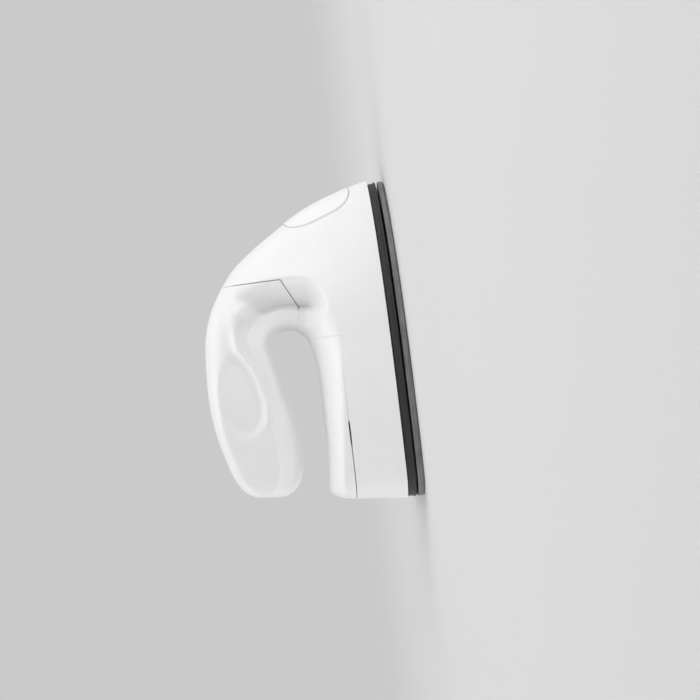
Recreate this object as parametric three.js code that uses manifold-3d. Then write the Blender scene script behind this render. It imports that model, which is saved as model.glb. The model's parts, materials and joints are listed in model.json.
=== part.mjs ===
// Mini craft iron: a small fixed-temperature iron with an open-ended handle.
// Millimetres. The sole's flat face lies on z = 0, +X points to the nose and the outside is
// symmetric about y = 0 but for the cord inlet. The origin is the middle of the sole's face.
import * as THREE from 'three';
import { mergeVertices } from 'three/addons/utils/BufferGeometryUtils.js';
import Module from 'manifold-3d';

const wasm = await Module();
wasm.setup();

// Overall form
const SOLE_LENGTH = 120;
const SOLE_WIDTH = 61;
const OVERALL_HEIGHT = 76.2;
const HANDLE_WIDTH = 27;
const HEEL_TILT_DEG = 5.8;
const HEEL_PROUD = 0.8;
const HEEL_CORNER_RADIUS = 11;
const HEEL_NARROWING = 2.2;
const PLAN_REACH = 84;

// Soleplate
const SOLE_EDGE_THICKNESS = 2.5;
const SOLE_EDGE_ROUND = 0.9;
const PLATEAU_INSET = 6;
const PLATEAU_HEIGHT = 5;
const PLATEAU_DRAFT = 0.6;
const BOSS_HEIGHT = 8;
const BOSS_RADIUS = 4;
const NOSE_BOSS_RADIUS = 3;
const NOSE_SCREW_BEHIND_TIP = 9;
const REAR_SCREW_AHEAD_OF_HEEL = 13;

// Skirt
const SHADOW_GAP = 0.7;
const SKIRT_HEIGHT = 3;
const SKIRT_LIP_HEIGHT = 0.8;
const SKIRT_LIP_PROUD = 0.3;
const SKIRT_INSET = 0.3;
const SKIRT_WALL = 2.2;
const SKIRT_SHELF_THICKNESS = 1.2;
const COLLAR_INSET = 3;
const COLLAR_WALL = 2;
const LUG_THICKNESS = 2;
const LUG_RADIUS = 5.5;

// Mouldings
const WALL = 2;
const BODY_PROUD = 0.5;
const SIDE_DRAFT_DEG = 4;
const SEAM_GAP = 0.4;
const TOP_ROUND = 10;
const GRIP_ROUND = 9;
const BASE_ROUND = 5;
const HEEL_TOP_ROUND = 3;
const RIM_BLEND = 3;
const LIP_EDGE = 1;
const POCKET_DEPTH = 3;
const RECESS_LENGTH = 34;
const RECESS_HEIGHT = 18.6;
const RECESS_DEPTH = 1.7;
const RECESS_TILT_DEG = 3;
const NOSE_BOSS_WALL = 1.6;
const HANDLE_BOSS_RADIUS = 3.6;
const TONGUE_LENGTH = 10;
const TONGUE_DEPTH = 7;
const TONGUE_WIDTH = 6.6;
const NECK_WEB_THICKNESS = 2;
const HEEL_BOSS_LENGTH = 4.6;
const HEEL_BOSS_RADIUS = 4.2;
const DECK_LEG_THICKNESS = 4;
const DECK_LEG_WIDTH = 12;
const DECK_LEG_MARGIN = 3;

// Nose plate
const PLATE_LENGTH = 28;
const PLATE_WIDTH = 19;
const PLATE_PROUD = 0.7;
const PLATE_SEAT = 1.2;

// Cord inlet
const INLET_BORE = 6.8;
const BUSH_WALL = 1.4;
const BUSH_FLANGE = 1.6;
const BUSH_FLANGE_THICKNESS = 1.6;
const PAD_WALL = 2;
const PAD_THICKNESS = 4.4;
const PAD_PROUD = 0.5;

// Heating element
const ELEMENT_DIAMETER = 6;
const ELEMENT_RISE = 9;
const ELEMENT_BEND = 5;
const ELEMENT_PIN_DIAMETER = 2.2;
const ELEMENT_PIN_LENGTH = 5;
const GROOVE_FLOOR = 1.6;

// Heat shield
const SHIELD_THICKNESS = 0.6;
const SHIELD_LIP = 1.6;
const SHIELD_INSET = 7.5;
const SHIELD_CLEARANCE = 1;

// Thermostat
const STACK_SIDE = 7;
const FOOT_THICKNESS = 1;
const FOOT_WIDTH = 8.6;
const FOOT_LENGTH = 12;
const FOOT_STEP = 2.2;
const WASHER_THICKNESS = 1.6;
const RIVET_DIAMETER = 2.4;
const RIVET_HEAD_DIAMETER = 4.4;
const RIVET_HEAD_HEIGHT = 0.9;
const BLADE_THICKNESS = 0.5;
const BLADE_WIDTH = 5;
const BLADE_REACH = 21;
const BLADE_TAIL = 6;
const BIMETAL_THICKNESS = 0.8;
const CONTACT_DIAMETER = 3;
const CONTACT_REACH = 11;
const PIN_DIAMETER = 2;
const PIN_NECK_DIAMETER = 1.2;
const PIN_REACH = 17;

// Fuse, terminal block and leads
const FUSE_DIAMETER = 4;
const FUSE_LENGTH = 13;
const FUSE_SIDE = 3;
const CLIP_THICKNESS = 0.8;
const CLIP_WIDTH = 6;
const CLIP_FOOT = 5;
const BLOCK_LENGTH = 18;
const BLOCK_DEPTH = 10;
const BLOCK_HEIGHT = 8;
const BLOCK_BORE_RADIUS = 1.6;
const BLOCK_PITCH = 11;
const BLOCK_HEADROOM = 2.4;
const LEAD_DIAMETER = 2.2;

// Screws and clearances
const SCREW_DIAMETER = 3;
const SCREW_HEAD_DIAMETER = 5.6;
const SCREW_HEAD_HEIGHT = 2;
const SMALL_SCREW_DIAMETER = 2.2;
const SMALL_HEAD_DIAMETER = 4;
const SMALL_HEAD_HEIGHT = 1.4;
const SMALL_SCREW_LENGTH = 8;
const FIT_GAP = 0.3;
const OVERRUN = 12;
const MERGE_DISTANCE = 0.0001;

// Shape shares
const PLAN_ROUND_SHARE = 2.2;
const SOLE_SHARPNESS_SHARE = 0.7;
const NOSE_SHARPNESS_SHARE = 0.56;
const NOSE_INSET_SHARE = 1.6;
const ROUND_LIMIT_SHARE = 0.42;
const NOSE_POINTS_SHARE = 0.55;
const PLATE_POWER_SHARE = 2.4;
const RAMP_SLOPE_SHARE = 1.15;
const RAMP_ROUND_SHARE = 0.35;
const LEAST_SCOOP_SHARE = 0.1;
const MOST_SCOOP_SHARE = 0.85;
const LIP_SHARE = 0.05;

// Where the inner pieces stand, as shares of half the sole's length and width
const ELEMENT_REAR_SHARE = -0.5;
const ELEMENT_FRONT_SHARE = 0.567;
const ELEMENT_SIDE_SHARE = 0.426;
const REAR_SCREW_SIDE_SHARE = 0.557;
const STACK_SHARE = -0.2333;
const FUSE_SHARE = 0.3;
const BLOCK_SHARE = -0.64;
const INLET_SHARE = -0.4167;

// Levels that follow from the sizes above
const HALF_LENGTH = SOLE_LENGTH / 2;
const HALF_WIDTH = SOLE_WIDTH / 2;
const HALF_HANDLE = HANDLE_WIDTH / 2;
const HEEL_SLOPE = Math.tan(THREE.MathUtils.degToRad(HEEL_TILT_DEG));
const DRAFT_SLOPE = Math.tan(THREE.MathUtils.degToRad(SIDE_DRAFT_DEG));
const FAR = SOLE_LENGTH + OVERALL_HEIGHT;
const SKIRT_BOTTOM = SOLE_EDGE_THICKNESS + SHADOW_GAP;
const SKIRT_TOP = SKIRT_BOTTOM + SKIRT_HEIGHT;
const BODY_BOTTOM = SKIRT_TOP + FIT_GAP;
const SHIELD_BOTTOM = BOSS_HEIGHT + FIT_GAP;
const SHIELD_TOP = SHIELD_BOTTOM + SHIELD_THICKNESS;
const SKIRT_LUG_BOTTOM = SHIELD_TOP + FIT_GAP;
const SKIRT_LUG_TOP = SKIRT_LUG_BOTTOM + LUG_THICKNESS;
const BODY_LUG_BOTTOM = SKIRT_LUG_TOP + FIT_GAP;
const BODY_LUG_TOP = BODY_LUG_BOTTOM + LUG_THICKNESS;
const NOSE_SCREW_X = HALF_LENGTH - NOSE_SCREW_BEHIND_TIP;
const REAR_SCREW_X = REAR_SCREW_AHEAD_OF_HEEL - HALF_LENGTH;
const REAR_SCREW_SIDE = REAR_SCREW_SIDE_SHARE * HALF_WIDTH;
const ELEMENT_REAR_X = ELEMENT_REAR_SHARE * HALF_LENGTH;
const ELEMENT_FRONT_X = ELEMENT_FRONT_SHARE * HALF_LENGTH;
const ELEMENT_SIDE = ELEMENT_SIDE_SHARE * HALF_WIDTH;
const FUSE_X = FUSE_SHARE * HALF_LENGTH;

// The moulded form is a ribbon of cross-sections that runs from the handle's free end, round the
// finger slot and back along the deck to the heel. Each row below is one station:
//   outer point x, z | slot point x, z | rim | handle half-width | neck
// x is a share of half the sole's length and z of the overall height. rim is where the body's
// side begins, as a share of the way from the slot point to the outer point (1 is no rim).
// neck is 1 where the section is scooped beside the handle and 0 where the deck is crowned.
const stationShares = [
  [-0.922, 0.735, -0.922, 0.690, 1, 0.12, 1],
  [-0.917, 0.795, -0.917, 0.655, 1, 0.30, 1],
  [-0.893, 0.845, -0.880, 0.615, 1, 0.50, 1],
  [-0.848, 0.886, -0.825, 0.586, 1, 0.66, 1],
  [-0.767, 0.921, -0.745, 0.567, 1, 0.78, 1],
  [-0.652, 0.950, -0.640, 0.562, 1, 0.88, 1],
  [-0.518, 0.977, -0.517, 0.572, 1, 0.96, 1],
  [-0.387, 0.994, -0.400, 0.589, 1, 1.00, 1],
  [-0.258, 1.000, -0.283, 0.609, 1, 1.00, 1],
  [-0.128, 0.998, -0.167, 0.630, 1, 1.00, 1],
  [-0.002, 0.992, -0.067, 0.647, 1, 1.00, 1],
  [0.125, 0.980, 0.010, 0.659, 1, 0.98, 1],
  [0.250, 0.953, 0.057, 0.654, 1, 0.93, 1],
  [0.372, 0.905, 0.090, 0.636, 0.97, 0.87, 1],
  [0.473, 0.851, 0.110, 0.612, 0.88, 0.83, 1],
  [0.558, 0.793, 0.119, 0.588, 0.775, 0.81, 1],
  [0.668, 0.683, 0.121, 0.567, 0.675, 0.80, 1],
  [0.760, 0.572, 0.117, 0.546, 0.605, 0.80, 1],
  [0.845, 0.462, 0.106, 0.522, 0.51, 0.80, 1],
  [0.910, 0.354, 0.083, 0.496, 0.44, 0.80, 0.85],
  [0.957, 0.248, 0.053, 0.476, 0.365, 0.80, 0.60],
  [1.000, 0.142, 0.010, 0.461, 0.30, 0.80, 0.35],
  [1.020, 0.050, -0.033, 0.452, 0.265, 0.80, 0.15],
  [0.980, -0.050, -0.083, 0.446, 0.24, 0.80, 0.04],
  [0.830, -0.080, -0.135, 0.442, 0.24, 0.80, 0],
  [0.600, -0.080, -0.200, 0.440, 0.24, 0.80, 0],
  [0.300, -0.080, -0.300, 0.438, 0.22, 0.80, 0],
  [0.000, -0.080, -0.417, 0.437, 0.19, 0.80, 0],
  [-0.300, -0.080, -0.550, 0.437, 0.16, 0.80, 0],
  [-0.600, -0.080, -0.700, 0.440, 0.135, 0.80, 0],
  [-0.830, -0.080, -0.820, 0.445, 0.12, 0.80, 0],
  [-1.060, -0.080, -1.010, 0.454, 0.11, 0.80, 0],
];
const PROW_FIRST_ROW = 11;
const PROW_LAST_ROW = 22;
const PROW_STEPS = 4;
// Rows between which the scoop's pocket deepens and the body's shoulder rises beside it
const pocketRows = [9.5, 14];
const shoulderRows = [11.5, 14];
const HEEL_ROW = stationShares.length - 2;
// Stretches that bend so little that each row needs only one section
const plainRows = [[3, 10], [24, HEEL_ROW]];

// How finely the form is cut into sections, and how many points go round a section
const outerFineness = { steps: 2, heelSteps: 6, roundPoints: 4, scoopPoints: 3, sidePoints: 2 };
const innerFineness = { steps: 1, heelSteps: 2, roundPoints: 2, scoopPoints: 2, sidePoints: 1 };

// Where the mouldings part, in the side view, as shares of half the length and of the height
const neckSeamShares = [[0.441, 2], [0.441, 0.579], [0.257, 0.499], [0.107, 0.522], [-2, 0.522]];
const deckSeamShares = [[-2, 0.333], [-0.2, 0.333], [0.05, 0.316], [0.05, 0.522], [-2, 0.522]];
const recessShares = { x: -0.242, z: 0.827 };
const plateHeightShare = 0.36;
const handleScrewShares = [{ x: -0.73, z: 0.765 }, { x: 0.2, z: 0.825 }];
const inletHeightShare = 0.47;

// Plain geometry helpers

function at(x, y, z) {
  return new THREE.Vector3(x, y, z);
}

function solid(geometry) {
  geometry.deleteAttribute('normal');
  geometry.deleteAttribute('uv');
  const merged = mergeVertices(geometry, MERGE_DISTANCE);
  return new wasm.Manifold(new wasm.Mesh({
    numProp: 3,
    vertProperties: new Float32Array(merged.attributes.position.array),
    triVerts: new Uint32Array(merged.index.array),
  }));
}

function surface(body) {
  const mesh = body.getMesh();
  const geometry = new THREE.BufferGeometry();
  geometry.setAttribute('position', new THREE.BufferAttribute(mesh.vertProperties, 3));
  geometry.setIndex(new THREE.BufferAttribute(mesh.triVerts, 1));
  geometry.computeVertexNormals();
  return geometry;
}

function joined(bodies) {
  return bodies.reduce((whole, body) => whole.add(body));
}

function without(body, cutters) {
  return cutters.reduce((rest, cutter) => rest.subtract(cutter), body);
}

// Rings are symmetric about their first and middle points, so an end is closed by rungs.
function endTriangles(count) {
  const triangles = [[0, 1, count - 1]];
  for (let j = 2; j < count / 2; j += 1) {
    const other = count - j;
    triangles.push([j - 1, j, other], [j - 1, other, other + 1]);
  }
  triangles.push([count / 2 - 1, count / 2, count / 2 + 1]);
  return triangles;
}

// A closed skin over rings that all have the same number of points, with flat ends.
function skinned(rings) {
  const count = rings[0].length;
  const last = (rings.length - 1) * count;
  const indices = [];
  for (let i = 0; i < last; i += count) {
    for (let j = 0; j < count; j += 1) {
      const a = i + j;
      const b = i + (j + 1) % count;
      indices.push(a, b, b + count, a, b + count, a + count);
    }
  }
  for (const [a, b, c] of endTriangles(count)) {
    indices.push(c, b, a, last + a, last + b, last + c);
  }
  const positions = rings.flat().flatMap((point) => point.toArray());
  const geometry = new THREE.BufferGeometry();
  geometry.setAttribute('position', new THREE.Float32BufferAttribute(positions, 3));
  geometry.setIndex(facesOutward(rings.flat(), indices) ? indices : indices.reverse());
  return solid(geometry);
}

function facesOutward(points, indices) {
  let volume = 0;
  for (let i = 0; i < indices.length; i += 3) {
    const [a, b, c] = [points[indices[i]], points[indices[i + 1]], points[indices[i + 2]]];
    volume += a.dot(b.clone().cross(c));
  }
  return volume > 0;
}

function block(low, high) {
  const size = high.clone().sub(low);
  const middle = low.clone().add(high).divideScalar(2);
  const geometry = new THREE.BoxGeometry(size.x, size.y, size.z);
  geometry.translate(middle.x, middle.y, middle.z);
  return solid(geometry);
}

// Turns a geometry that stands on the origin along +Y to point along a direction from a place.
function aimed(geometry, place, direction) {
  const turn = new THREE.Quaternion().setFromUnitVectors(at(0, 1, 0), direction.clone().normalize());
  geometry.applyQuaternion(turn);
  geometry.translate(place.x, place.y, place.z);
  return solid(geometry);
}

function bar(from, to, radius, sides = 14) {
  const length = from.distanceTo(to);
  const geometry = new THREE.CylinderGeometry(radius, radius, length, sides);
  geometry.translate(0, length / 2, 0);
  return aimed(geometry, from, to.clone().sub(from));
}

// A turned piece from [radius, distance] points, along a direction from a place.
function turned(profile, place, direction, sides = 10) {
  const points = profile.map(([radius, distance]) => new THREE.Vector2(radius, distance));
  return aimed(new THREE.LatheGeometry(points, sides), place, direction);
}

// A prism on a side outline of [x, z] points, from one y to another.
function sidePrism(outline, low, high) {
  const shape = new THREE.Shape(outline.map(([x, z]) => new THREE.Vector2(x, z)));
  const geometry = new THREE.ExtrudeGeometry(shape, { depth: high - low, bevelEnabled: false });
  geometry.rotateX(Math.PI / 2);
  geometry.translate(0, high, 0);
  return solid(geometry);
}

function tube(points, radius, halfSides, steps) {
  const shape = new THREE.Shape();
  shape.absarc(0, 0, radius, 0, 2 * Math.PI);
  return solid(new THREE.ExtrudeGeometry(shape, {
    steps,
    curveSegments: halfSides,
    extrudePath: new THREE.CatmullRomCurve3(points, false, 'centripetal'),
    bevelEnabled: false,
  }));
}

// An open path of [x, z] points moved to its left by a distance.
function shifted(path, distance) {
  const directions = path.slice(1).map(([x, z], i) => {
    const length = Math.hypot(x - path[i][0], z - path[i][1]);
    return [(x - path[i][0]) / length, (z - path[i][1]) / length];
  });
  return path.map(([x, z], i) => {
    const before = directions[Math.max(i - 1, 0)];
    const after = directions[Math.min(i, directions.length - 1)];
    const normal = [-(before[1] + after[1]), before[0] + after[0]];
    const reach = 2 * distance / (normal[0] ** 2 + normal[1] ** 2);
    return [x + normal[0] * reach, z + normal[1] * reach];
  });
}

function held(value, low, high) {
  return Math.min(Math.max(value, low), high);
}

function smooth(share) {
  const part = held(share, 0, 1);
  return part * part * (3 - 2 * part);
}

// Height of a quarter circle over its radius, and 1 beyond it.
function rounded(share) {
  return Math.sqrt(1 - (1 - held(share, 0, 1)) ** 2);
}

// A straight rise from 0 that rounds over to 1.
function ramp(share) {
  const rise = Math.max(share, 0) * RAMP_SLOPE_SHARE;
  const nearness = held((1 + (1 - rise) / RAMP_ROUND_SHARE) / 2, 0, 1);
  return 1 + (rise - 1) * nearness - RAMP_ROUND_SHARE * nearness * (1 - nearness);
}

function between([first, last], place) {
  return smooth((place - first) / (last - first));
}

function quarterShares(points) {
  return Array.from({ length: points }, (_, i) => 1 - Math.cos(Math.PI / 2 * (i + 1) / points));
}

// Plan of the iron

// Half-width of a pointed plan at a distance behind its tip.
function planHalf(behindTip, half, sharpness) {
  const share = held(behindTip / PLAN_REACH, 0, 1);
  const behindWidest = Math.max(behindTip - PLAN_REACH, 0) / (SOLE_LENGTH - PLAN_REACH);
  return half * (1 - (1 - share) ** PLAN_ROUND_SHARE) ** sharpness - HEEL_NARROWING * behindWidest ** 2;
}

function heelAt(z) {
  return z * HEEL_SLOPE - HALF_LENGTH - HEEL_PROUD;
}

function withHeelCorner(half, aheadOfHeel, radius) {
  return half - radius * (1 - rounded(aheadOfHeel / radius));
}

// The ring of a level slice: tip first, then one side, the heel and back up the other side.
function planRing(z, inset) {
  const tip = HALF_LENGTH - inset * NOSE_INSET_SHARE;
  const heel = inset - HALF_LENGTH;
  const radius = Math.max(HEEL_CORNER_RADIUS - inset, HEEL_CORNER_RADIUS / 3);
  const reach = tip - heel - radius;
  const noseSteps = 8;
  const sideSteps = 3;
  const cornerSteps = 4;
  const xs = [];
  for (let i = 1; i <= noseSteps; i += 1) {
    xs.push(tip - reach * NOSE_POINTS_SHARE * (i / noseSteps) ** 2);
  }
  for (let i = 1; i <= sideSteps; i += 1) {
    xs.push(tip - reach * (NOSE_POINTS_SHARE + (1 - NOSE_POINTS_SHARE) * i / sideSteps));
  }
  for (let i = 1; i <= cornerSteps; i += 1) {
    xs.push(heel + radius * (1 - Math.sin(Math.PI / 2 * i / cornerSteps)));
  }
  const side = xs.map((x) => {
    const half = planHalf(tip - x, HALF_WIDTH - inset, SOLE_SHARPNESS_SHARE);
    return at(x, withHeelCorner(half, x - heel, radius), z);
  });
  const mirrored = side.map((point) => at(point.x, -point.y, point.z)).reverse();
  return [at(tip, 0, z), ...side, at(heel, 0, z), ...mirrored];
}

// A solid over level slices given as [z, inset].
function planStack(levels) {
  return skinned(levels.map(([z, inset]) => planRing(z, inset)));
}

// Moulded form

function stationAt(place) {
  const first = held(Math.floor(place), 0, stationShares.length - 2);
  const share = place - first;
  const row = (i) => stationShares[held(i, 0, stationShares.length - 1)];
  const [before, here, next, after] = [row(first - 1), row(first), row(first + 1), row(first + 2)];
  const values = here.map((value, i) => {
    const rise = next[i] - value;
    const slopeHere = (next[i] - before[i]) / 2;
    const slopeNext = (after[i] - value) / 2;
    const square = 3 * rise - 2 * slopeHere - slopeNext;
    const cube = slopeHere + slopeNext - 2 * rise;
    return value + share * (slopeHere + share * (square + share * cube));
  });
  return {
    outer: [values[0] * HALF_LENGTH, values[1] * OVERALL_HEIGHT],
    slot: [values[2] * HALF_LENGTH, values[3] * OVERALL_HEIGHT],
    rim: Math.min(values[4], 1),
    handle: values[5] * HALF_HANDLE,
    neck: held(values[6], 0, 1),
    base: smooth((place - PROW_LAST_ROW + 1) / 2),
    pocket: POCKET_DEPTH * between(pocketRows, place),
    shoulder: between(shoulderRows, place),
  };
}

function prowLine() {
  const line = [];
  for (let place = PROW_FIRST_ROW; place <= PROW_LAST_ROW; place += 1 / PROW_STEPS) {
    line.push(stationAt(place).outer);
  }
  return line;
}

const prow = prowLine();

// x of the nose's front edge at a height.
function prowAt(z) {
  const next = prow.findIndex((point) => point[1] <= z);
  if (next <= 0) {
    return next < 0 ? prow[prow.length - 1][0] : prow[0][0];
  }
  const [above, below] = [prow[next - 1], prow[next]];
  return above[0] + (below[0] - above[0]) * (above[1] - z) / (above[1] - below[1]);
}

// Half-width of the body's outside at a point of the side view, before scoop and crown.
function bodyHalf(x, z) {
  const height = held(z / OVERALL_HEIGHT, 0, 1);
  const half = HALF_WIDTH + BODY_PROUD - DRAFT_SLOPE * Math.max(z - BODY_BOTTOM, 0);
  const sharpness = SOLE_SHARPNESS_SHARE + (NOSE_SHARPNESS_SHARE - SOLE_SHARPNESS_SHARE) * height;
  return withHeelCorner(planHalf(prowAt(z) - x, half, sharpness), x - heelAt(z), HEEL_CORNER_RADIUS);
}

// Half the form's thickness at one place of a cross-section.
function halfThickness(section, x, z, fromSlot) {
  const fromOuter = section.length - fromSlot;
  const baseEdge = 1 - section.base * (1 - rounded(fromOuter / section.outerRound));
  const body = bodyHalf(x, z) * baseEdge;
  const crowned = body * rounded(fromSlot / section.rim);
  const edges = rounded(fromSlot / section.slotRound) * rounded(fromOuter / section.outerRound);
  const pastLip = fromSlot - section.slotRound;
  const grip = section.handle * edges - section.pocket * smooth(pastLip / LIP_EDGE);
  const reach = Math.max(section.rim - section.slotRound, RIM_BLEND);
  const scooped = grip + (body - grip) * ramp(pastLip / reach) * section.shoulder;
  return crowned + (scooped - crowned) * section.neck;
}

function sectionAt(place) {
  const station = stationAt(place);
  const roundedOff = 1 - rounded((station.slot[0] - heelAt(station.slot[1])) / HEEL_TOP_ROUND);
  station.slot[1] -= station.base * HEEL_TOP_ROUND * roundedOff;
  const run = [station.outer[0] - station.slot[0], station.outer[1] - station.slot[1]];
  const length = Math.hypot(...run);
  const rim = station.rim * length;
  const gripRound = Math.min(GRIP_ROUND, ROUND_LIMIT_SHARE * length);
  const topRound = TOP_ROUND + (BASE_ROUND - TOP_ROUND) * station.base;
  return {
    ...station,
    run,
    length,
    rim,
    slotRound: rim + (gripRound - rim) * station.neck,
    outerRound: Math.min(topRound, ROUND_LIMIT_SHARE * length),
  };
}

// Distances from the slot edge at which a section has its points.
function sectionPlaces(section, fineness) {
  const sideStart = section.length - section.outerRound;
  const span = sideStart - section.slotRound;
  const toRim = section.rim + RIM_BLEND - section.slotRound;
  const rimEnd = section.slotRound + held(toRim, LEAST_SCOOP_SHARE * span, MOST_SCOOP_SHARE * span);
  const lipEnd = section.slotRound + Math.min(LIP_EDGE, LIP_SHARE * span);
  const rounds = quarterShares(fineness.roundPoints);
  const places = rounds.map((share) => section.slotRound * share);
  places.push(lipEnd);
  for (let i = 1; i <= fineness.scoopPoints; i += 1) {
    places.push(lipEnd + (rimEnd - lipEnd) * i / fineness.scoopPoints);
  }
  for (let i = 1; i <= fineness.sidePoints; i += 1) {
    places.push(rimEnd + (sideStart - rimEnd) * i / fineness.sidePoints);
  }
  for (const share of rounds.slice(0, -1).reverse()) {
    places.push(section.length - section.outerRound * share);
  }
  return places;
}

// One cross-section of the form, drawn in by an inset or let out by a negative one.
function sectionRing(place, inset, fineness) {
  const section = sectionAt(place);
  const { slot, run, length } = section;
  const pointAt = (fromSlot, y) => {
    const share = (inset + fromSlot * (length - 2 * inset) / length) / length;
    return at(slot[0] + run[0] * share, y, slot[1] + run[1] * share);
  };
  const side = sectionPlaces(section, fineness).map((fromSlot) => {
    const share = fromSlot / length;
    const y = halfThickness(section, slot[0] + run[0] * share, slot[1] + run[1] * share, fromSlot);
    return pointAt(fromSlot, y - inset * (1 - Math.exp(-y / Math.max(inset, FIT_GAP))));
  });
  const mirrored = side.map((point) => at(point.x, -point.y, point.z)).reverse();
  return [pointAt(0, 0), ...side, pointAt(length, 0), ...mirrored];
}

function stepsAfter(row, fineness) {
  if (row >= HEEL_ROW) {
    return fineness.heelSteps;
  }
  return plainRows.some(([first, end]) => row >= first && row < end) ? 1 : fineness.steps;
}

function formBetween(firstRow, lastRow, inset, fineness) {
  const rings = [];
  for (let row = firstRow; row < lastRow; row += 1) {
    const steps = stepsAfter(row, fineness);
    for (let i = 0; i < steps; i += 1) {
      rings.push(sectionRing(row + i / steps, inset, fineness));
    }
  }
  rings.push(sectionRing(lastRow, inset, fineness));
  return skinned(rings);
}

// Materials

function finish(color, roughness, metalness = 0) {
  return new THREE.MeshStandardMaterial({ color, roughness, metalness });
}

const whitePlastic = finish(0xececea, 0.35);
const blackPlastic = finish(0x1d1b1b, 0.55);
const coatedMetal = finish(0x5d5b59, 0.4, 0.5);
const sheetSteel = finish(0xa9abad, 0.4, 1);
const elementSteel = finish(0x8a8782, 0.5, 1);
const screwSteel = finish(0xb9bbbd, 0.3, 1);
const ceramic = finish(0xe9e2d3, 0.6);
const springBrass = finish(0xc9a35a, 0.35, 1);
const bushRubber = finish(0x151515, 0.8);
const leadSleeve = finish(0xd9d5cb, 0.8);

const iron = new THREE.Group();

function piece(name, body, material) {
  const mesh = new THREE.Mesh(surface(body), material);
  mesh.name = name;
  iron.add(mesh);
}

// A screw whose head rests on a seat and whose shank runs along a direction.
function screwBody(seat, direction, length, diameter, headDiameter, headHeight) {
  return turned([
    [0, -headHeight],
    [headDiameter / 3, -headHeight],
    [headDiameter / 2, -headHeight / 2],
    [headDiameter / 2, 0],
    [diameter / 2, 0],
    [diameter / 2, length - diameter / 2],
    [0, length],
  ], seat, direction);
}

function along(place, direction, distance) {
  return place.clone().addScaledVector(direction, distance);
}

function screw(name, seat, direction, length, small) {
  const diameter = small ? SMALL_SCREW_DIAMETER : SCREW_DIAMETER;
  const headDiameter = small ? SMALL_HEAD_DIAMETER : SCREW_HEAD_DIAMETER;
  const headHeight = small ? SMALL_HEAD_HEIGHT : SCREW_HEAD_HEIGHT;
  const lifted = along(seat, direction, -FIT_GAP);
  piece(name, screwBody(lifted, direction, length, diameter, headDiameter, headHeight), screwSteel);
}

// The hole that a screw of the given size passes through or ends in.
function screwHole(seat, direction, length, small) {
  const radius = (small ? SMALL_SCREW_DIAMETER : SCREW_DIAMETER) / 2 + FIT_GAP;
  return bar(along(seat, direction, -FIT_GAP), along(seat, direction, length), radius, 10);
}

// The wider hole that lets a screw's head down to its seat.
function headHole(seat, direction, depth, small) {
  const radius = (small ? SMALL_HEAD_DIAMETER : SCREW_HEAD_DIAMETER) / 2 + FIT_GAP;
  return bar(seat, along(seat, direction, -depth), radius, 12);
}

const UP = at(0, 0, 1);
const DOWN = at(0, 0, -1);
const AHEAD = at(1, 0, 0);
const RIGHT = at(0, -1, 0);

const rearScrew = { x: REAR_SCREW_X, boss: BOSS_RADIUS, lugBottom: SKIRT_LUG_BOTTOM };
const soleScrewPlaces = [
  { name: 'sole_screw_front', x: NOSE_SCREW_X, y: 0, boss: NOSE_BOSS_RADIUS, lugBottom: SHIELD_BOTTOM },
  { name: 'sole_screw_left', y: REAR_SCREW_SIDE, ...rearScrew },
  { name: 'sole_screw_right', y: -REAR_SCREW_SIDE, ...rearScrew },
];
const SOLE_SCREW_LENGTH = BODY_LUG_TOP - SOLE_EDGE_THICKNESS;

function soleScrewSeat(place) {
  return at(place.x, place.y, BODY_LUG_TOP);
}

const soleScrewHoles = soleScrewPlaces.map(
  (place) => screwHole(soleScrewSeat(place), DOWN, SOLE_SCREW_LENGTH),
);

// Heating element and soleplate

const ELEMENT_LEVEL = GROOVE_FLOOR + FIT_GAP + ELEMENT_DIAMETER / 2;

// How the element's legs draw together towards the nose: share of the run, share of the side
const elementShares = [[0.4, 1], [0.7, 0.88], [0.92, 0.58]];

function elementPath() {
  const run = ELEMENT_FRONT_X - ELEMENT_REAR_X;
  const leg = [
    [ELEMENT_REAR_X, ELEMENT_SIDE, ELEMENT_LEVEL + ELEMENT_RISE],
    [ELEMENT_REAR_X, ELEMENT_SIDE, ELEMENT_LEVEL + ELEMENT_BEND],
    [ELEMENT_REAR_X + ELEMENT_BEND / 3, ELEMENT_SIDE, ELEMENT_LEVEL + ELEMENT_BEND / 3],
    [ELEMENT_REAR_X + ELEMENT_BEND, ELEMENT_SIDE, ELEMENT_LEVEL],
    ...elementShares.map(([ahead, side]) => (
      [ELEMENT_REAR_X + run * ahead, ELEMENT_SIDE * side, ELEMENT_LEVEL]
    )),
  ];
  const near = leg.map(([x, y, z]) => at(x, y, z));
  const far = leg.map(([x, y, z]) => at(x, -y, z)).reverse();
  return [...near, at(ELEMENT_FRONT_X, 0, ELEMENT_LEVEL), ...far];
}

const elementSteps = 26;
piece('heating_element', tube(elementPath(), ELEMENT_DIAMETER / 2, 5, elementSteps), elementSteel);

const pinBottom = ELEMENT_LEVEL + ELEMENT_RISE + FIT_GAP;
for (const [name, side] of [['element_pin_left', 1], ['element_pin_right', -1]]) {
  const foot = at(ELEMENT_REAR_X, side * ELEMENT_SIDE, pinBottom);
  const tip = along(foot, UP, ELEMENT_PIN_LENGTH);
  piece(name, bar(foot, tip, ELEMENT_PIN_DIAMETER / 2, 12), screwSteel);
}

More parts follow.
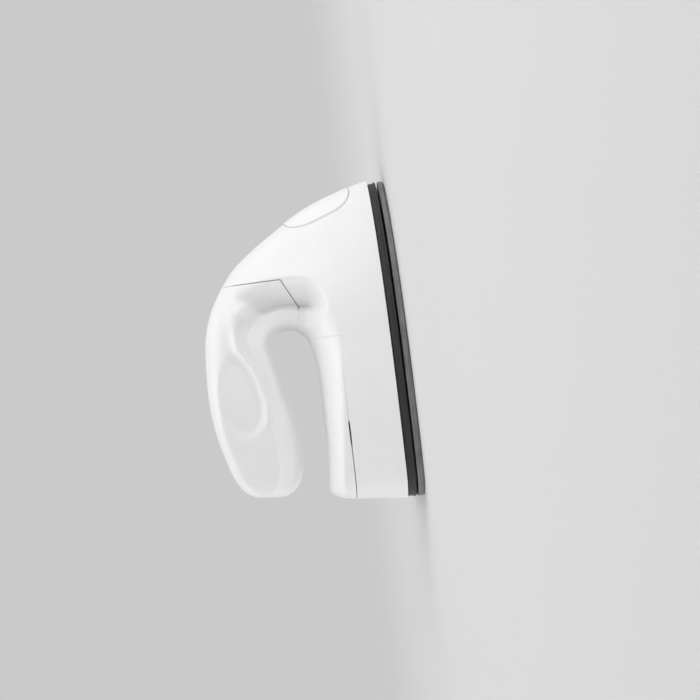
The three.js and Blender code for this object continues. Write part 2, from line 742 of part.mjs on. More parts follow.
function soleplate() {
  const plate = planStack([
    [0, SOLE_EDGE_ROUND],
    [SOLE_EDGE_ROUND / 3, SOLE_EDGE_ROUND / 3],
    [SOLE_EDGE_ROUND, 0],
    [SOLE_EDGE_THICKNESS, 0],
  ]);
  const plateau = planStack([
    [SOLE_EDGE_THICKNESS / 2, PLATEAU_INSET],
    [PLATEAU_HEIGHT, PLATEAU_INSET + PLATEAU_DRAFT],
  ]);
  const bosses = soleScrewPlaces.map(({ x, y, boss }) => (
    bar(at(x, y, SOLE_EDGE_THICKNESS / 2), at(x, y, BOSS_HEIGHT), boss)
  ));
  const groove = tube(elementPath(), ELEMENT_DIAMETER / 2 + FIT_GAP, 5, elementSteps);
  return without(joined([plate, plateau, ...bosses]), [groove, ...soleScrewHoles, ...plateauHoles()]);
}

// Thermostat, a stack of blades and washers on a stepped foot

const STACK_X = STACK_SHARE * HALF_LENGTH;
const FOOT_BOTTOM = PLATEAU_HEIGHT + FIT_GAP;
const FOOT_FRONT = STACK_X + STACK_SIDE / 2 + FOOT_LENGTH;
const footScrewSeat = at(FOOT_FRONT - SMALL_HEAD_DIAMETER, 0, FOOT_BOTTOM + FOOT_THICKNESS);
const clipScrewSeat = at(
  FUSE_X,
  FUSE_DIAMETER / 2 + CLIP_THICKNESS + CLIP_FOOT / 2 - FUSE_SIDE + FIT_GAP,
  PLATEAU_HEIGHT + FIT_GAP + CLIP_THICKNESS,
);
const PLATEAU_SCREW_LENGTH = PLATEAU_HEIGHT - GROOVE_FLOOR;

function plateauHoles() {
  return [footScrewSeat, clipScrewSeat].map((seat) => screwHole(seat, DOWN, PLATEAU_SCREW_LENGTH, true));
}

// A flat strip of the stack: from x to x, of a width, from its level upwards.
function strip(fromX, toX, width, level, thickness) {
  return block(at(fromX, -width / 2, level), at(toX, width / 2, level + thickness));
}

function thermostat() {
  const half = STACK_SIDE / 2;
  const levels = {};
  let level = FOOT_BOTTOM + FOOT_STEP;
  const order = [
    ['foot', FOOT_THICKNESS],
    ['lower_washer', WASHER_THICKNESS],
    ['bimetal', BIMETAL_THICKNESS],
    ['middle_washer', WASHER_THICKNESS],
    ['fixed', BLADE_THICKNESS],
    ['upper_washer', WASHER_THICKNESS],
    ['moving', BLADE_THICKNESS],
    ['top', FOOT_THICKNESS],
  ];
  for (const [name, thickness] of order) {
    levels[name] = level;
    level += thickness + FIT_GAP;
  }
  const rivetRadius = RIVET_DIAMETER / 2;
  const below = levels.foot - FIT_GAP;
  const rivetHole = bar(at(STACK_X, 0, below), at(STACK_X, 0, level), rivetRadius + FIT_GAP, 12);
  const back = STACK_X - half;
  const front = STACK_X + half;

  const foot = joined([
    strip(back, front, FOOT_WIDTH, levels.foot, FOOT_THICKNESS),
    strip(front - FOOT_THICKNESS, front, FOOT_WIDTH, FOOT_BOTTOM, FOOT_STEP + FOOT_THICKNESS),
    strip(front - FOOT_THICKNESS, FOOT_FRONT, FOOT_WIDTH, FOOT_BOTTOM, FOOT_THICKNESS),
  ]);
  const footHole = screwHole(footScrewSeat, DOWN, PLATEAU_SCREW_LENGTH, true);
  piece('thermostat_foot', without(foot, [rivetHole, footHole]), sheetSteel);
  screw('thermostat_screw', footScrewSeat, DOWN, PLATEAU_SCREW_LENGTH, true);

  for (const name of ['lower_washer', 'middle_washer', 'upper_washer']) {
    const washer = strip(back, front, STACK_SIDE, levels[name], WASHER_THICKNESS);
    piece(`thermostat_${name}`, washer.subtract(rivetHole), ceramic);
  }
  const topPlate = strip(back, front, STACK_SIDE, levels.top, FOOT_THICKNESS);
  piece('thermostat_top_plate', topPlate.subtract(rivetHole), sheetSteel);

  const rivetHead = RIVET_HEAD_DIAMETER / 2;
  const rivetBottom = below - RIVET_HEAD_HEIGHT;
  const rivetTop = level + RIVET_HEAD_HEIGHT;
  piece('thermostat_rivet', turned([
    [0, 0],
    [rivetHead, 0],
    [rivetHead, RIVET_HEAD_HEIGHT],
    [rivetRadius, RIVET_HEAD_HEIGHT],
    [rivetRadius, level - rivetBottom],
    [rivetHead, level - rivetBottom],
    [rivetHead, rivetTop - rivetBottom],
    [0, rivetTop - rivetBottom],
  ], at(STACK_X, 0, rivetBottom), UP), screwSteel);

  // The bimetal strip carries the push pin that lifts the moving blade off the fixed contact.
  const pinX = front + PIN_REACH;
  const pinFoot = levels.bimetal + BIMETAL_THICKNESS + FIT_GAP;
  const pinTop = levels.moving - FIT_GAP;
  const pinHole = bar(
    at(pinX, 0, levels.bimetal - FIT_GAP),
    at(pinX, 0, pinFoot),
    PIN_NECK_DIAMETER / 2 + FIT_GAP,
    12,
  );
  const bimetal = strip(back, front + BLADE_REACH, BLADE_WIDTH, levels.bimetal, BIMETAL_THICKNESS);
  piece('bimetal_strip', without(bimetal, [rivetHole, pinHole]), sheetSteel);
  const neckLength = BIMETAL_THICKNESS + FIT_GAP;
  piece('push_pin', turned([
    [0, 0],
    [PIN_NECK_DIAMETER / 2, 0],
    [PIN_NECK_DIAMETER / 2, neckLength],
    [PIN_DIAMETER / 2, neckLength],
    [PIN_DIAMETER / 2, pinTop - levels.bimetal],
    [0, pinTop - levels.bimetal],
  ], at(pinX, 0, levels.bimetal), UP), ceramic);

  const contactX = front + CONTACT_REACH;
  const contactGap = levels.moving - levels.fixed - BLADE_THICKNESS - FIT_GAP;
  const fixedTop = levels.fixed + BLADE_THICKNESS;
  const fixedBlade = joined([
    strip(back, contactX + CONTACT_DIAMETER, BLADE_WIDTH, levels.fixed, BLADE_THICKNESS),
    block(
      at(STACK_X - BLADE_WIDTH / 2, -STACK_SIDE / 2 - BLADE_TAIL, levels.fixed),
      at(STACK_X + BLADE_WIDTH / 2, 0, fixedTop),
    ),
    bar(at(contactX, 0, levels.fixed), at(contactX, 0, fixedTop + contactGap / 2), CONTACT_DIAMETER / 2, 12),
  ]);
  piece('fixed_contact_blade', fixedBlade.subtract(rivetHole), springBrass);
  const movingTop = levels.moving + BLADE_THICKNESS;
  const movingBlade = joined([
    strip(back - BLADE_TAIL, front + BLADE_REACH, BLADE_WIDTH, levels.moving, BLADE_THICKNESS),
    bar(
      at(contactX, 0, levels.moving - contactGap / 2),
      at(contactX, 0, movingTop),
      CONTACT_DIAMETER / 2,
      12,
    ),
  ]);
  piece('moving_contact_blade', movingBlade.subtract(rivetHole), springBrass);
  return {
    movingTail: at(back - BLADE_TAIL / 2, 0, movingTop),
    fixedTail: at(STACK_X, -STACK_SIDE / 2 - BLADE_TAIL, levels.fixed),
    front,
  };
}

piece('soleplate', soleplate(), coatedMetal);
const thermostatEnds = thermostat();

// Thermal fuse under a clip

const FUSE_LEVEL = PLATEAU_HEIGHT + FIT_GAP + FUSE_DIAMETER / 2;
const fuseRear = at(FUSE_X - FUSE_LENGTH / 2, -FUSE_SIDE, FUSE_LEVEL);
const fuseFront = at(FUSE_X + FUSE_LENGTH / 2, -FUSE_SIDE, FUSE_LEVEL);
const fuseSleeve = bar(fuseRear, fuseFront, FUSE_DIAMETER / 2, 14);
piece('thermal_fuse', fuseSleeve, leadSleeve);

function fuseClip() {
  const [low, high] = [FUSE_X - CLIP_WIDTH / 2, FUSE_X + CLIP_WIDTH / 2];
  const inner = FUSE_DIAMETER / 2 + FIT_GAP;
  const outer = inner + CLIP_THICKNESS;
  const strap = bar(at(low, -FUSE_SIDE, FUSE_LEVEL), at(high, -FUSE_SIDE, FUSE_LEVEL), outer);
  const hollow = bar(
    at(low - FIT_GAP, -FUSE_SIDE, FUSE_LEVEL),
    at(high + FIT_GAP, -FUSE_SIDE, FUSE_LEVEL),
    inner,
  );
  const floor = PLATEAU_HEIGHT + FIT_GAP;
  const legs = block(at(low, -FUSE_SIDE - outer, floor), at(high, outer - FUSE_SIDE, FUSE_LEVEL));
  const room = block(
    at(low - FIT_GAP, -FUSE_SIDE - inner, 0),
    at(high + FIT_GAP, inner - FUSE_SIDE, FUSE_LEVEL),
  );
  const foot = block(
    at(low, inner - FUSE_SIDE, floor),
    at(high, outer - FUSE_SIDE + CLIP_FOOT, floor + CLIP_THICKNESS),
  );
  const under = block(at(low - FIT_GAP, -FUSE_SIDE - outer, 0), at(high + FIT_GAP, outer, floor));
  const hole = screwHole(clipScrewSeat, DOWN, PLATEAU_SCREW_LENGTH, true);
  return without(joined([strap, legs]), [hollow, room, under]).add(foot).subtract(hole);
}

piece('fuse_clip', fuseClip(), sheetSteel);
screw('fuse_clip_screw', clipScrewSeat, DOWN, PLATEAU_SCREW_LENGTH, true);

// Heat shield, pressed from sheet, with a window over the thermostat and the fuse

// The room round the soleplate's bosses up to a level.
function bossRoom(top) {
  return joined(soleScrewPlaces.map(({ x, y, boss }) => (
    bar(at(x, y, -OVERRUN), at(x, y, top), boss + FIT_GAP)
  )));
}

function heatShield() {
  const sheet = planStack([[SHIELD_BOTTOM, SHIELD_INSET], [SHIELD_TOP, SHIELD_INSET]]);
  const rim = planStack([[SHIELD_BOTTOM - SHIELD_LIP, SHIELD_INSET], [SHIELD_TOP, SHIELD_INSET]]);
  const insideRim = planStack([
    [SHIELD_BOTTOM - SHIELD_LIP - OVERRUN, SHIELD_INSET + SHIELD_THICKNESS],
    [SHIELD_BOTTOM, SHIELD_INSET + SHIELD_THICKNESS],
  ]);
  const windowSide = ELEMENT_SIDE - ELEMENT_DIAMETER / 2;
  const stackWindow = block(
    at(STACK_X - STACK_SIDE / 2 - SHIELD_CLEARANCE, -windowSide, SHIELD_BOTTOM - OVERRUN),
    at(fuseRear.x, windowSide, SHIELD_TOP + OVERRUN),
  );
  const fuseWindowSide = FUSE_SIDE + FUSE_DIAMETER / 2 + CLIP_THICKNESS + SHIELD_CLEARANCE;
  const fuseWindow = block(
    at(fuseRear.x, -fuseWindowSide, SHIELD_BOTTOM - OVERRUN),
    at(fuseFront.x + FUSE_DIAMETER, fuseWindowSide, SHIELD_TOP + OVERRUN),
  );
  const endRoom = ELEMENT_DIAMETER / 2 + SHIELD_CLEARANCE;
  const endHoles = [1, -1].map((side) => block(
    at(ELEMENT_REAR_X - endRoom, side * ELEMENT_SIDE - endRoom, SHIELD_BOTTOM - OVERRUN),
    at(ELEMENT_REAR_X + ELEMENT_BEND + endRoom, side * ELEMENT_SIDE + endRoom, SHIELD_TOP + OVERRUN),
  ));
  const flanged = rim.subtract(insideRim).subtract(bossRoom(SHIELD_BOTTOM)).add(sheet);
  const noseRoom = bar(
    at(NOSE_SCREW_X, 0, -OVERRUN),
    at(NOSE_SCREW_X, 0, SHIELD_TOP + OVERRUN),
    LUG_RADIUS + FIT_GAP,
  );
  return without(flanged, [noseRoom, stackWindow, fuseWindow, ...endHoles, ...soleScrewHoles]);
}

piece('heat_shield', heatShield(), sheetSteel);

// Skirt: visible ring, shelf and inner collar, with a lug over each boss of the soleplate

// A tongue round a screw that runs out to the nearest end of the iron.
function lug(place, bottom, top) {
  const round = bar(at(place.x, place.y, bottom), at(place.x, place.y, top), LUG_RADIUS);
  const low = at(Math.min(place.x, FAR * Math.sign(place.x)), place.y - LUG_RADIUS, bottom);
  const high = at(Math.max(place.x, FAR * Math.sign(place.x)), place.y + LUG_RADIUS, top);
  return round.add(block(low, high));
}

function skirt() {
  const ring = planStack([
    [SKIRT_BOTTOM, SKIRT_INSET],
    [SKIRT_BOTTOM + SKIRT_LIP_PROUD, SKIRT_INSET - SKIRT_LIP_PROUD],
    [SKIRT_BOTTOM + SKIRT_LIP_HEIGHT, SKIRT_INSET - SKIRT_LIP_PROUD],
    [SKIRT_BOTTOM + SKIRT_LIP_HEIGHT + SKIRT_LIP_PROUD, SKIRT_INSET],
    [SKIRT_TOP, SKIRT_INSET],
  ]);
  const ringRoom = planStack([
    [SKIRT_BOTTOM - OVERRUN, SKIRT_INSET + SKIRT_WALL],
    [SKIRT_TOP - SKIRT_SHELF_THICKNESS, SKIRT_INSET + SKIRT_WALL],
  ]);
  const collarInner = COLLAR_INSET + COLLAR_WALL;
  const collar = planStack([
    [SKIRT_TOP - SKIRT_SHELF_THICKNESS, COLLAR_INSET],
    [SKIRT_LUG_TOP, COLLAR_INSET],
  ]);
  const collarRoom = planStack([
    [SKIRT_BOTTOM - OVERRUN, collarInner],
    [SKIRT_LUG_TOP + OVERRUN, collarInner],
  ]);
  const insideCollar = planStack([
    [SKIRT_BOTTOM, COLLAR_INSET + COLLAR_WALL / 2],
    [SKIRT_LUG_TOP, COLLAR_INSET + COLLAR_WALL / 2],
  ]);
  const tabs = joined(soleScrewPlaces.map((place) => lug(place, place.lugBottom, SKIRT_LUG_TOP)));
  const hollow = ring.subtract(ringRoom).add(collar).subtract(collarRoom);
  const inletRoom = block(
    at(inletX - padRadius - FIT_GAP, 0, inletZ - padRadius - FIT_GAP),
    at(inletX + padRadius + FIT_GAP, FAR, FAR),
  );
  return without(hollow.add(tabs.intersect(insideCollar)), [
    inletRoom,
    bossRoom(SHIELD_BOTTOM),
    ...soleScrewHoles,
  ]);
}

// Mouldings

const lastRow = stationShares.length - 1;
const cavityFirstRow = 2;
const outerForm = formBetween(0, lastRow, 0, outerFineness);
const cavity = formBetween(cavityFirstRow, lastRow, WALL, innerFineness);
const tongueRoom = formBetween(PROW_FIRST_ROW, PROW_LAST_ROW, WALL + FIT_GAP, innerFineness);

function placed(shares) {
  return shares.map(([x, z]) => [x * HALF_LENGTH, z * OVERALL_HEIGHT]);
}

const neckSeam = placed(neckSeamShares);
const deckSeam = placed(deckSeamShares);

// Everything on the handle's side of the neck seam, less a margin.
function handleSide(margin) {
  return sidePrism([...shifted(neckSeam, -margin), [-FAR, FAR]], -FAR, FAR);
}

// Everything on the deck's side of the deck seam, less a margin.
function deckSide(margin) {
  return sidePrism(shifted(deckSeam, margin), -FAR, FAR);
}

// The space above a level and ahead of the heel plane, less a margin at the heel.
function aheadOfHeel(margin, level) {
  return sidePrism([
    [heelAt(level) + margin, level],
    [FAR, level],
    [FAR, FAR],
    [heelAt(FAR) + margin, FAR],
  ], -FAR, FAR);
}

const outside = outerForm.intersect(aheadOfHeel(0, BODY_BOTTOM));
const inside = cavity.intersect(aheadOfHeel(WALL, 0));
// Ribs and posts end half-way through the walls that carry them.
const ribRoom = formBetween(0, lastRow, WALL / 2, innerFineness)
  .intersect(aheadOfHeel(WALL / 2, BODY_BOTTOM + WALL));

// Handle halves

const handleScrewPlaces = handleScrewShares.map(({ x, z }, i) => ({
  name: ['handle_screw_rear', 'handle_screw_front'][i],
  seat: at(x * HALF_LENGTH, HALF_HANDLE / 2, z * OVERALL_HEIGHT),
}));
const HANDLE_SCREW_LENGTH = HALF_HANDLE;

const TONGUE_BACK = neckSeam[2][0] - 2 * WALL + FIT_GAP;
const TONGUE_FRONT = TONGUE_BACK + TONGUE_LENGTH;
const TONGUE_BOTTOM = neckSeam[2][1] - TONGUE_DEPTH;
const tongueScrewX = (TONGUE_BACK + TONGUE_FRONT) / 2;
const tongueScrewSide = SEAM_GAP / 2 + TONGUE_WIDTH / 2;
const tonguePlaces = [
  { name: 'neck_screw_left', side: 1 },
  { name: 'neck_screw_right', side: -1 },
].map((place) => ({
  ...place,
  seat: at(tongueScrewX, place.side * tongueScrewSide, TONGUE_BOTTOM - FIT_GAP - NECK_WEB_THICKNESS),
}));

function thumbRecess(side) {
  const [a, b, c] = [RECESS_LENGTH / 2, RECESS_DEPTH, RECESS_HEIGHT / 2];
  const geometry = new THREE.SphereGeometry(1, 20, 10);
  geometry.scale(a, b, c);
  geometry.rotateY(-THREE.MathUtils.degToRad(RECESS_TILT_DEG));
  geometry.translate(recessShares.x * HALF_LENGTH, side * HALF_HANDLE, recessShares.z * OVERALL_HEIGHT);
  return solid(geometry);
}

function handleHalf(side) {
  const edges = [side * SEAM_GAP / 2, side * FAR].sort((a, b) => a - b);
  const halfSpace = block(at(-FAR, edges[0], -FAR), at(FAR, edges[1], FAR));
  const shell = outside.intersect(handleSide(SEAM_GAP / 2));
  const posts = handleScrewPlaces.map(({ seat }) => (
    bar(at(seat.x, -HALF_HANDLE, seat.z), at(seat.x, HALF_HANDLE, seat.z), HANDLE_BOSS_RADIUS)
  ));
  const tongue = block(
    at(TONGUE_BACK, -tongueScrewSide - TONGUE_WIDTH / 2, TONGUE_BOTTOM),
    at(TONGUE_FRONT, tongueScrewSide + TONGUE_WIDTH / 2, neckSeam[1][1] + TONGUE_DEPTH),
  );
  const carried = joined([...posts, tongue]).intersect(ribRoom).intersect(handleSide(SEAM_GAP / 2));
  const filled = joined([shell.subtract(inside), carried, tongue.intersect(tongueRoom)]);
  const cutters = [thumbRecess(side)];
  for (const { seat } of handleScrewPlaces) {
    cutters.push(screwHole(seat, RIGHT, HANDLE_SCREW_LENGTH, true));
    cutters.push(headHole(seat, RIGHT, FAR, true));
  }
  for (const { seat } of tonguePlaces) {
    cutters.push(screwHole(seat, UP, SMALL_SCREW_LENGTH, true));
  }
  return without(filled.intersect(halfSpace), cutters);
}

piece('handle_left', handleHalf(1), whitePlastic);
piece('handle_right', handleHalf(-1), whitePlastic);
for (const { name, seat } of handleScrewPlaces) {
  screw(name, seat, RIGHT, HANDLE_SCREW_LENGTH - FIT_GAP, true);
}
for (const { name, seat } of tonguePlaces) {
  screw(name, seat, UP, SMALL_SCREW_LENGTH - FIT_GAP, true);
}

// Nose plate, an oval let into the slope of the nose

const plateZ = plateHeightShare * OVERALL_HEIGHT;
const plateCentre = at(prowAt(plateZ), 0, plateZ);
const plateRun = at(prowAt(plateZ + WALL) - prowAt(plateZ - WALL), 0, 2 * WALL).normalize();
const plateNormal = at(plateRun.z, 0, -plateRun.x);

const plateSides = 28;

// A prism through the nose with the plate's outline, a full oval, let out by a margin.
function ovalPrism(margin) {
  const outline = Array.from({ length: plateSides }, (_, i) => {
    const angle = 2 * Math.PI * i / plateSides;
    const [ahead, aside] = [Math.cos(angle), Math.sin(angle)];
    const power = Math.abs(ahead) ** PLATE_POWER_SHARE + Math.abs(aside) ** PLATE_POWER_SHARE;
    const reach = power ** (-1 / PLATE_POWER_SHARE);
    return new THREE.Vector2(
      (PLATE_LENGTH / 2 + margin) * reach * ahead,
      (PLATE_WIDTH / 2 + margin) * reach * aside,
    );
  });
  const geometry = new THREE.ExtrudeGeometry(new THREE.Shape(outline), {
    depth: PLATE_LENGTH,
    bevelEnabled: false,
  });
  geometry.translate(0, 0, -PLATE_LENGTH / 2);
  geometry.applyMatrix4(new THREE.Matrix4().makeBasis(plateRun, at(0, -1, 0), plateNormal));
  geometry.translate(plateCentre.x, plateCentre.y, plateCentre.z);
  return solid(geometry);
}

const seatForm = formBetween(PROW_FIRST_ROW, PROW_LAST_ROW + 2, PLATE_SEAT, outerFineness);
const plateBack = formBetween(PROW_FIRST_ROW, PROW_LAST_ROW + 2, PLATE_SEAT - FIT_GAP, outerFineness);
const plateFront = formBetween(PROW_FIRST_ROW, PROW_LAST_ROW + 2, -PLATE_PROUD, outerFineness);

function frontOnly(body) {
  return body.intersect(block(at(plateCentre.x - PLATE_WIDTH, -FAR, 0), at(FAR, FAR, FAR)));
}

const plateRecess = frontOnly(ovalPrism(FIT_GAP)).subtract(seatForm);
piece('nose_plate', frontOnly(ovalPrism(0)).intersect(plateFront).subtract(plateBack), whitePlastic);

// Cord inlet in the left-hand side

const inletX = INLET_SHARE * HALF_LENGTH;
const inletZ = BODY_BOTTOM + inletHeightShare * (deckSeam[0][1] - BODY_BOTTOM);
const bushRadius = INLET_BORE / 2 + BUSH_WALL;
const flangeRadius = bushRadius + BUSH_FLANGE;
const padRadius = flangeRadius + PAD_WALL - BUSH_FLANGE / 2;
const padFace = bodyHalf(inletX, Math.max(inletZ - padRadius, BODY_BOTTOM)) + PAD_PROUD;
const padBack = padFace - PAD_THICKNESS;

piece('skirt', skirt(), blackPlastic);
piece('cord_bush', without(turned([
  [0, -FIT_GAP - BUSH_FLANGE_THICKNESS],
  [flangeRadius - FIT_GAP, -FIT_GAP - BUSH_FLANGE_THICKNESS],
  [flangeRadius, -FIT_GAP - BUSH_FLANGE_THICKNESS / 2],
  [flangeRadius, -FIT_GAP],
  [bushRadius, -FIT_GAP],
  [bushRadius, PAD_THICKNESS + FIT_GAP],
  [flangeRadius, PAD_THICKNESS + FIT_GAP],
  [flangeRadius, PAD_THICKNESS + FIT_GAP + BUSH_FLANGE_THICKNESS],
  [0, PAD_THICKNESS + FIT_GAP + BUSH_FLANGE_THICKNESS],
], at(inletX, padFace, inletZ), RIGHT, 16), [
  bar(at(inletX, padBack - OVERRUN, inletZ), at(inletX, padFace + OVERRUN, inletZ), INLET_BORE / 2, 16),
]), bushRubber);

// Housing

const heelScrewZ = BODY_LUG_TOP + (deckSeam[0][1] - BODY_LUG_TOP) / 2;
const heelScrewSeat = at(heelAt(heelScrewZ) + HEEL_BOSS_LENGTH - WALL, 0, heelScrewZ);
const heelBossEnd = heelAt(heelScrewZ) + HEEL_BOSS_LENGTH;
const HEEL_SCREW_LENGTH = WALL + FIT_GAP + DECK_LEG_THICKNESS;

const blockX = BLOCK_SHARE * HALF_LENGTH;
const deckCrest = stationAt(HEEL_ROW - 1).slot[1];
const SHELF_LEVEL = deckCrest - WALL - BLOCK_HEADROOM - BLOCK_HEIGHT - FIT_GAP;
const blockSeat = at(blockX, 0, SHELF_LEVEL + FIT_GAP + BLOCK_HEIGHT - SMALL_HEAD_HEIGHT);
const BLOCK_SCREW_LENGTH = blockSeat.z - SHELF_LEVEL + WALL / 2;

function bodyHousing() {
  const shell = without(outside, [handleSide(-SEAM_GAP / 2), deckSide(-SEAM_GAP / 2)]);
  const hollow = shell.subtract(inside);
  const noseBoss = bar(
    at(NOSE_SCREW_X, 0, BODY_LUG_BOTTOM),
    at(NOSE_SCREW_X, 0, OVERALL_HEIGHT),
    SCREW_HEAD_DIAMETER / 2 + FIT_GAP + NOSE_BOSS_WALL,
  );
  const rearLugs = joined(soleScrewPlaces.slice(1).map((place) => (
    lug(place, BODY_LUG_BOTTOM, BODY_LUG_TOP)
  )));
  const shelf = block(
    at(blockX - BLOCK_DEPTH / 2, -FAR, SHELF_LEVEL - WALL),
    at(blockX + BLOCK_DEPTH / 2, FAR, SHELF_LEVEL),
  );
  const neckWeb = block(
    at(TONGUE_BACK, -FAR, TONGUE_BOTTOM - FIT_GAP - NECK_WEB_THICKNESS),
    at(TONGUE_FRONT, FAR, TONGUE_BOTTOM - FIT_GAP),
  );
  const heelBoss = bar(at(-FAR, 0, heelScrewZ), at(heelBossEnd, 0, heelScrewZ), HEEL_BOSS_RADIUS);
  const ribs = without(joined([noseBoss, rearLugs, shelf, neckWeb, heelBoss]).intersect(ribRoom), [
    handleSide(-SEAM_GAP / 2),
    deckSide(-SEAM_GAP / 2),
  ]);
  const pad = bar(at(inletX, padBack, inletZ), at(inletX, padFace, inletZ), padRadius, 24);
  const collarRoom = planStack([
    [BODY_BOTTOM - OVERRUN, COLLAR_INSET - FIT_GAP],
    [SKIRT_LUG_TOP + FIT_GAP, COLLAR_INSET - FIT_GAP],
  ]);
  const bushRoom = bar(
    at(inletX, padBack - FIT_GAP, inletZ),
    at(inletX, padFace + OVERRUN, inletZ),
    bushRadius + FIT_GAP,
    16,
  );
  return without(joined([hollow, ribs, pad]), [
    collarRoom,
    bushRoom,
    plateRecess,
    ...soleScrewHoles,
    headHole(soleScrewSeat(soleScrewPlaces[0]), DOWN, FAR),
    screwHole(heelScrewSeat, AHEAD, HEEL_SCREW_LENGTH, true),
    headHole(heelScrewSeat, AHEAD, OVERRUN, true),
    screwHole(blockSeat, DOWN, BLOCK_SCREW_LENGTH + FIT_GAP, true),
    ...tonguePlaces.map(({ seat }) => screwHole(seat, UP, SMALL_SCREW_LENGTH, true)),
  ]);
}

piece('body_housing', bodyHousing(), whitePlastic);
for (const place of soleScrewPlaces) {
  screw(place.name, soleScrewSeat(place), DOWN, SOLE_SCREW_LENGTH - FIT_GAP);
}

// Deck cover with a screwed leg behind the heel

function deckCover() {
  const shell = outside.intersect(deckSide(SEAM_GAP / 2));
  const legBack = heelBossEnd + FIT_GAP;
  const leg = block(
    at(legBack, -DECK_LEG_WIDTH / 2, heelScrewZ - DECK_LEG_MARGIN),
    at(legBack + DECK_LEG_THICKNESS, DECK_LEG_WIDTH / 2, FAR),
  ).intersect(ribRoom).subtract(handleSide(-SEAM_GAP / 2));
  const hole = screwHole(heelScrewSeat, AHEAD, HEEL_SCREW_LENGTH + FIT_GAP, true);
  return shell.subtract(inside).add(leg).subtract(hole);
}

piece('deck_cover', deckCover(), whitePlastic);
screw('deck_screw', heelScrewSeat, AHEAD, HEEL_SCREW_LENGTH, true);

// Terminal block on the housing's shelf

function terminalScrewSeat(side) {
  return at(blockX, side * BLOCK_PITCH / 2, blockSeat.z);
}

const TERMINAL_SCREW_LENGTH = BLOCK_HEIGHT / 4;

function terminalBlock() {
  const base = SHELF_LEVEL + FIT_GAP;
  const body = block(
    at(blockX - BLOCK_DEPTH / 2, -BLOCK_LENGTH / 2, base),
    at(blockX + BLOCK_DEPTH / 2, BLOCK_LENGTH / 2, base + BLOCK_HEIGHT),
  );
  const wireLevel = base + BLOCK_HEIGHT / 3;
  const cutters = [
    screwHole(blockSeat, DOWN, BLOCK_SCREW_LENGTH + OVERRUN, true),
    headHole(blockSeat, DOWN, OVERRUN, true),
  ];
  for (const side of [1, -1]) {
    const y = side * BLOCK_PITCH / 2;
    cutters.push(bar(
      at(blockX - BLOCK_DEPTH, y, wireLevel),
      at(blockX + BLOCK_DEPTH, y, wireLevel),
      BLOCK_BORE_RADIUS,
      12,
    ));
    cutters.push(screwHole(terminalScrewSeat(side), DOWN, TERMINAL_SCREW_LENGTH + FIT_GAP, true));
    cutters.push(headHole(terminalScrewSeat(side), DOWN, OVERRUN, true));
  }
  return without(body, cutters);
}

piece('terminal_block', terminalBlock(), ceramic);
screw('terminal_block_screw', blockSeat, DOWN, BLOCK_SCREW_LENGTH, true);
screw('terminal_screw_left', terminalScrewSeat(1), DOWN, TERMINAL_SCREW_LENGTH, true);
screw('terminal_screw_right', terminalScrewSeat(-1), DOWN, TERMINAL_SCREW_LENGTH, true);

// Leads

const leadRadius = LEAD_DIAMETER / 2;
const wireLevel = SHELF_LEVEL + FIT_GAP + BLOCK_HEIGHT / 3;
const pinTopLevel = pinBottom + ELEMENT_PIN_LENGTH;
const passLevel = thermostatEnds.movingTail.z + 2 * LEAD_DIAMETER;

function lead(name, points, steps) {
  piece(name, tube(points, leadRadius, 4, steps), leadSleeve);
}

function terminalMouth(side) {
  return at(blockX + BLOCK_DEPTH / 2 + FIT_GAP, side * BLOCK_PITCH / 2, wireLevel);
}

function pinHead(side) {
  return at(ELEMENT_REAR_X, side * ELEMENT_SIDE, pinTopLevel + FIT_GAP);
}

const tail = thermostatEnds.movingTail;
lead('lead_live', [
  terminalMouth(1),
  along(terminalMouth(1), AHEAD, LEAD_DIAMETER),
  at((terminalMouth(1).x + tail.x) / 2, BLOCK_PITCH / 4, passLevel),
  at(tail.x, 0, tail.z + 2 * LEAD_DIAMETER),
  at(tail.x, 0, tail.z + FIT_GAP),
], 10);

const fixedTail = thermostatEnds.fixedTail;
lead('lead_thermostat', [
  along(fixedTail, RIGHT, FIT_GAP),
  along(fixedTail, RIGHT, LEAD_DIAMETER),
  at(
    (fixedTail.x + ELEMENT_REAR_X) / 2,
    -ELEMENT_SIDE,
    (fixedTail.z + pinTopLevel) / 2 + LEAD_DIAMETER,
  ),
  along(pinHead(-1), UP, LEAD_DIAMETER),
  pinHead(-1),
], 10);

const sideRun = (ELEMENT_SIDE + STACK_SIDE / 2) / 2;
lead('lead_fuse', [
  along(fuseRear, AHEAD, -FIT_GAP),
  along(fuseRear, AHEAD, -LEAD_DIAMETER),
  at(fuseRear.x - 2 * LEAD_DIAMETER, FUSE_SIDE, FUSE_LEVEL),
  at(0, sideRun, FUSE_LEVEL + LEAD_DIAMETER),
  at(STACK_X, sideRun, (FUSE_LEVEL + pinTopLevel) / 2 + LEAD_DIAMETER),
  along(pinHead(1), UP, LEAD_DIAMETER),
  pinHead(1),
], 16);

lead('lead_neutral', [
  along(fuseFront, AHEAD, FIT_GAP),
  along(fuseFront, AHEAD, LEAD_DIAMETER),
  at(fuseFront.x + LEAD_DIAMETER, -sideRun, (FUSE_LEVEL + passLevel) / 2),
  at(FUSE_X, -sideRun, (FUSE_LEVEL + passLevel) / 2 + LEAD_DIAMETER),
  at(STACK_X, -sideRun, passLevel),
  along(terminalMouth(-1), AHEAD, 2 * LEAD_DIAMETER),
  terminalMouth(-1),
], 18);

export default iron;
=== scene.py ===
"""Dresses the mini craft iron's CAD frame in Blender. Laid out as an add-on and run as a script.

Lengths are metres. The sole's flat face lies on z = 0, +X points to the nose and +Y to the cord's side.
"""
import json
import math

import bpy
import bmesh
from bpy.props import FloatProperty, FloatVectorProperty, PointerProperty
from bpy.types import Operator, Panel, PropertyGroup
from mathutils import Matrix, Vector


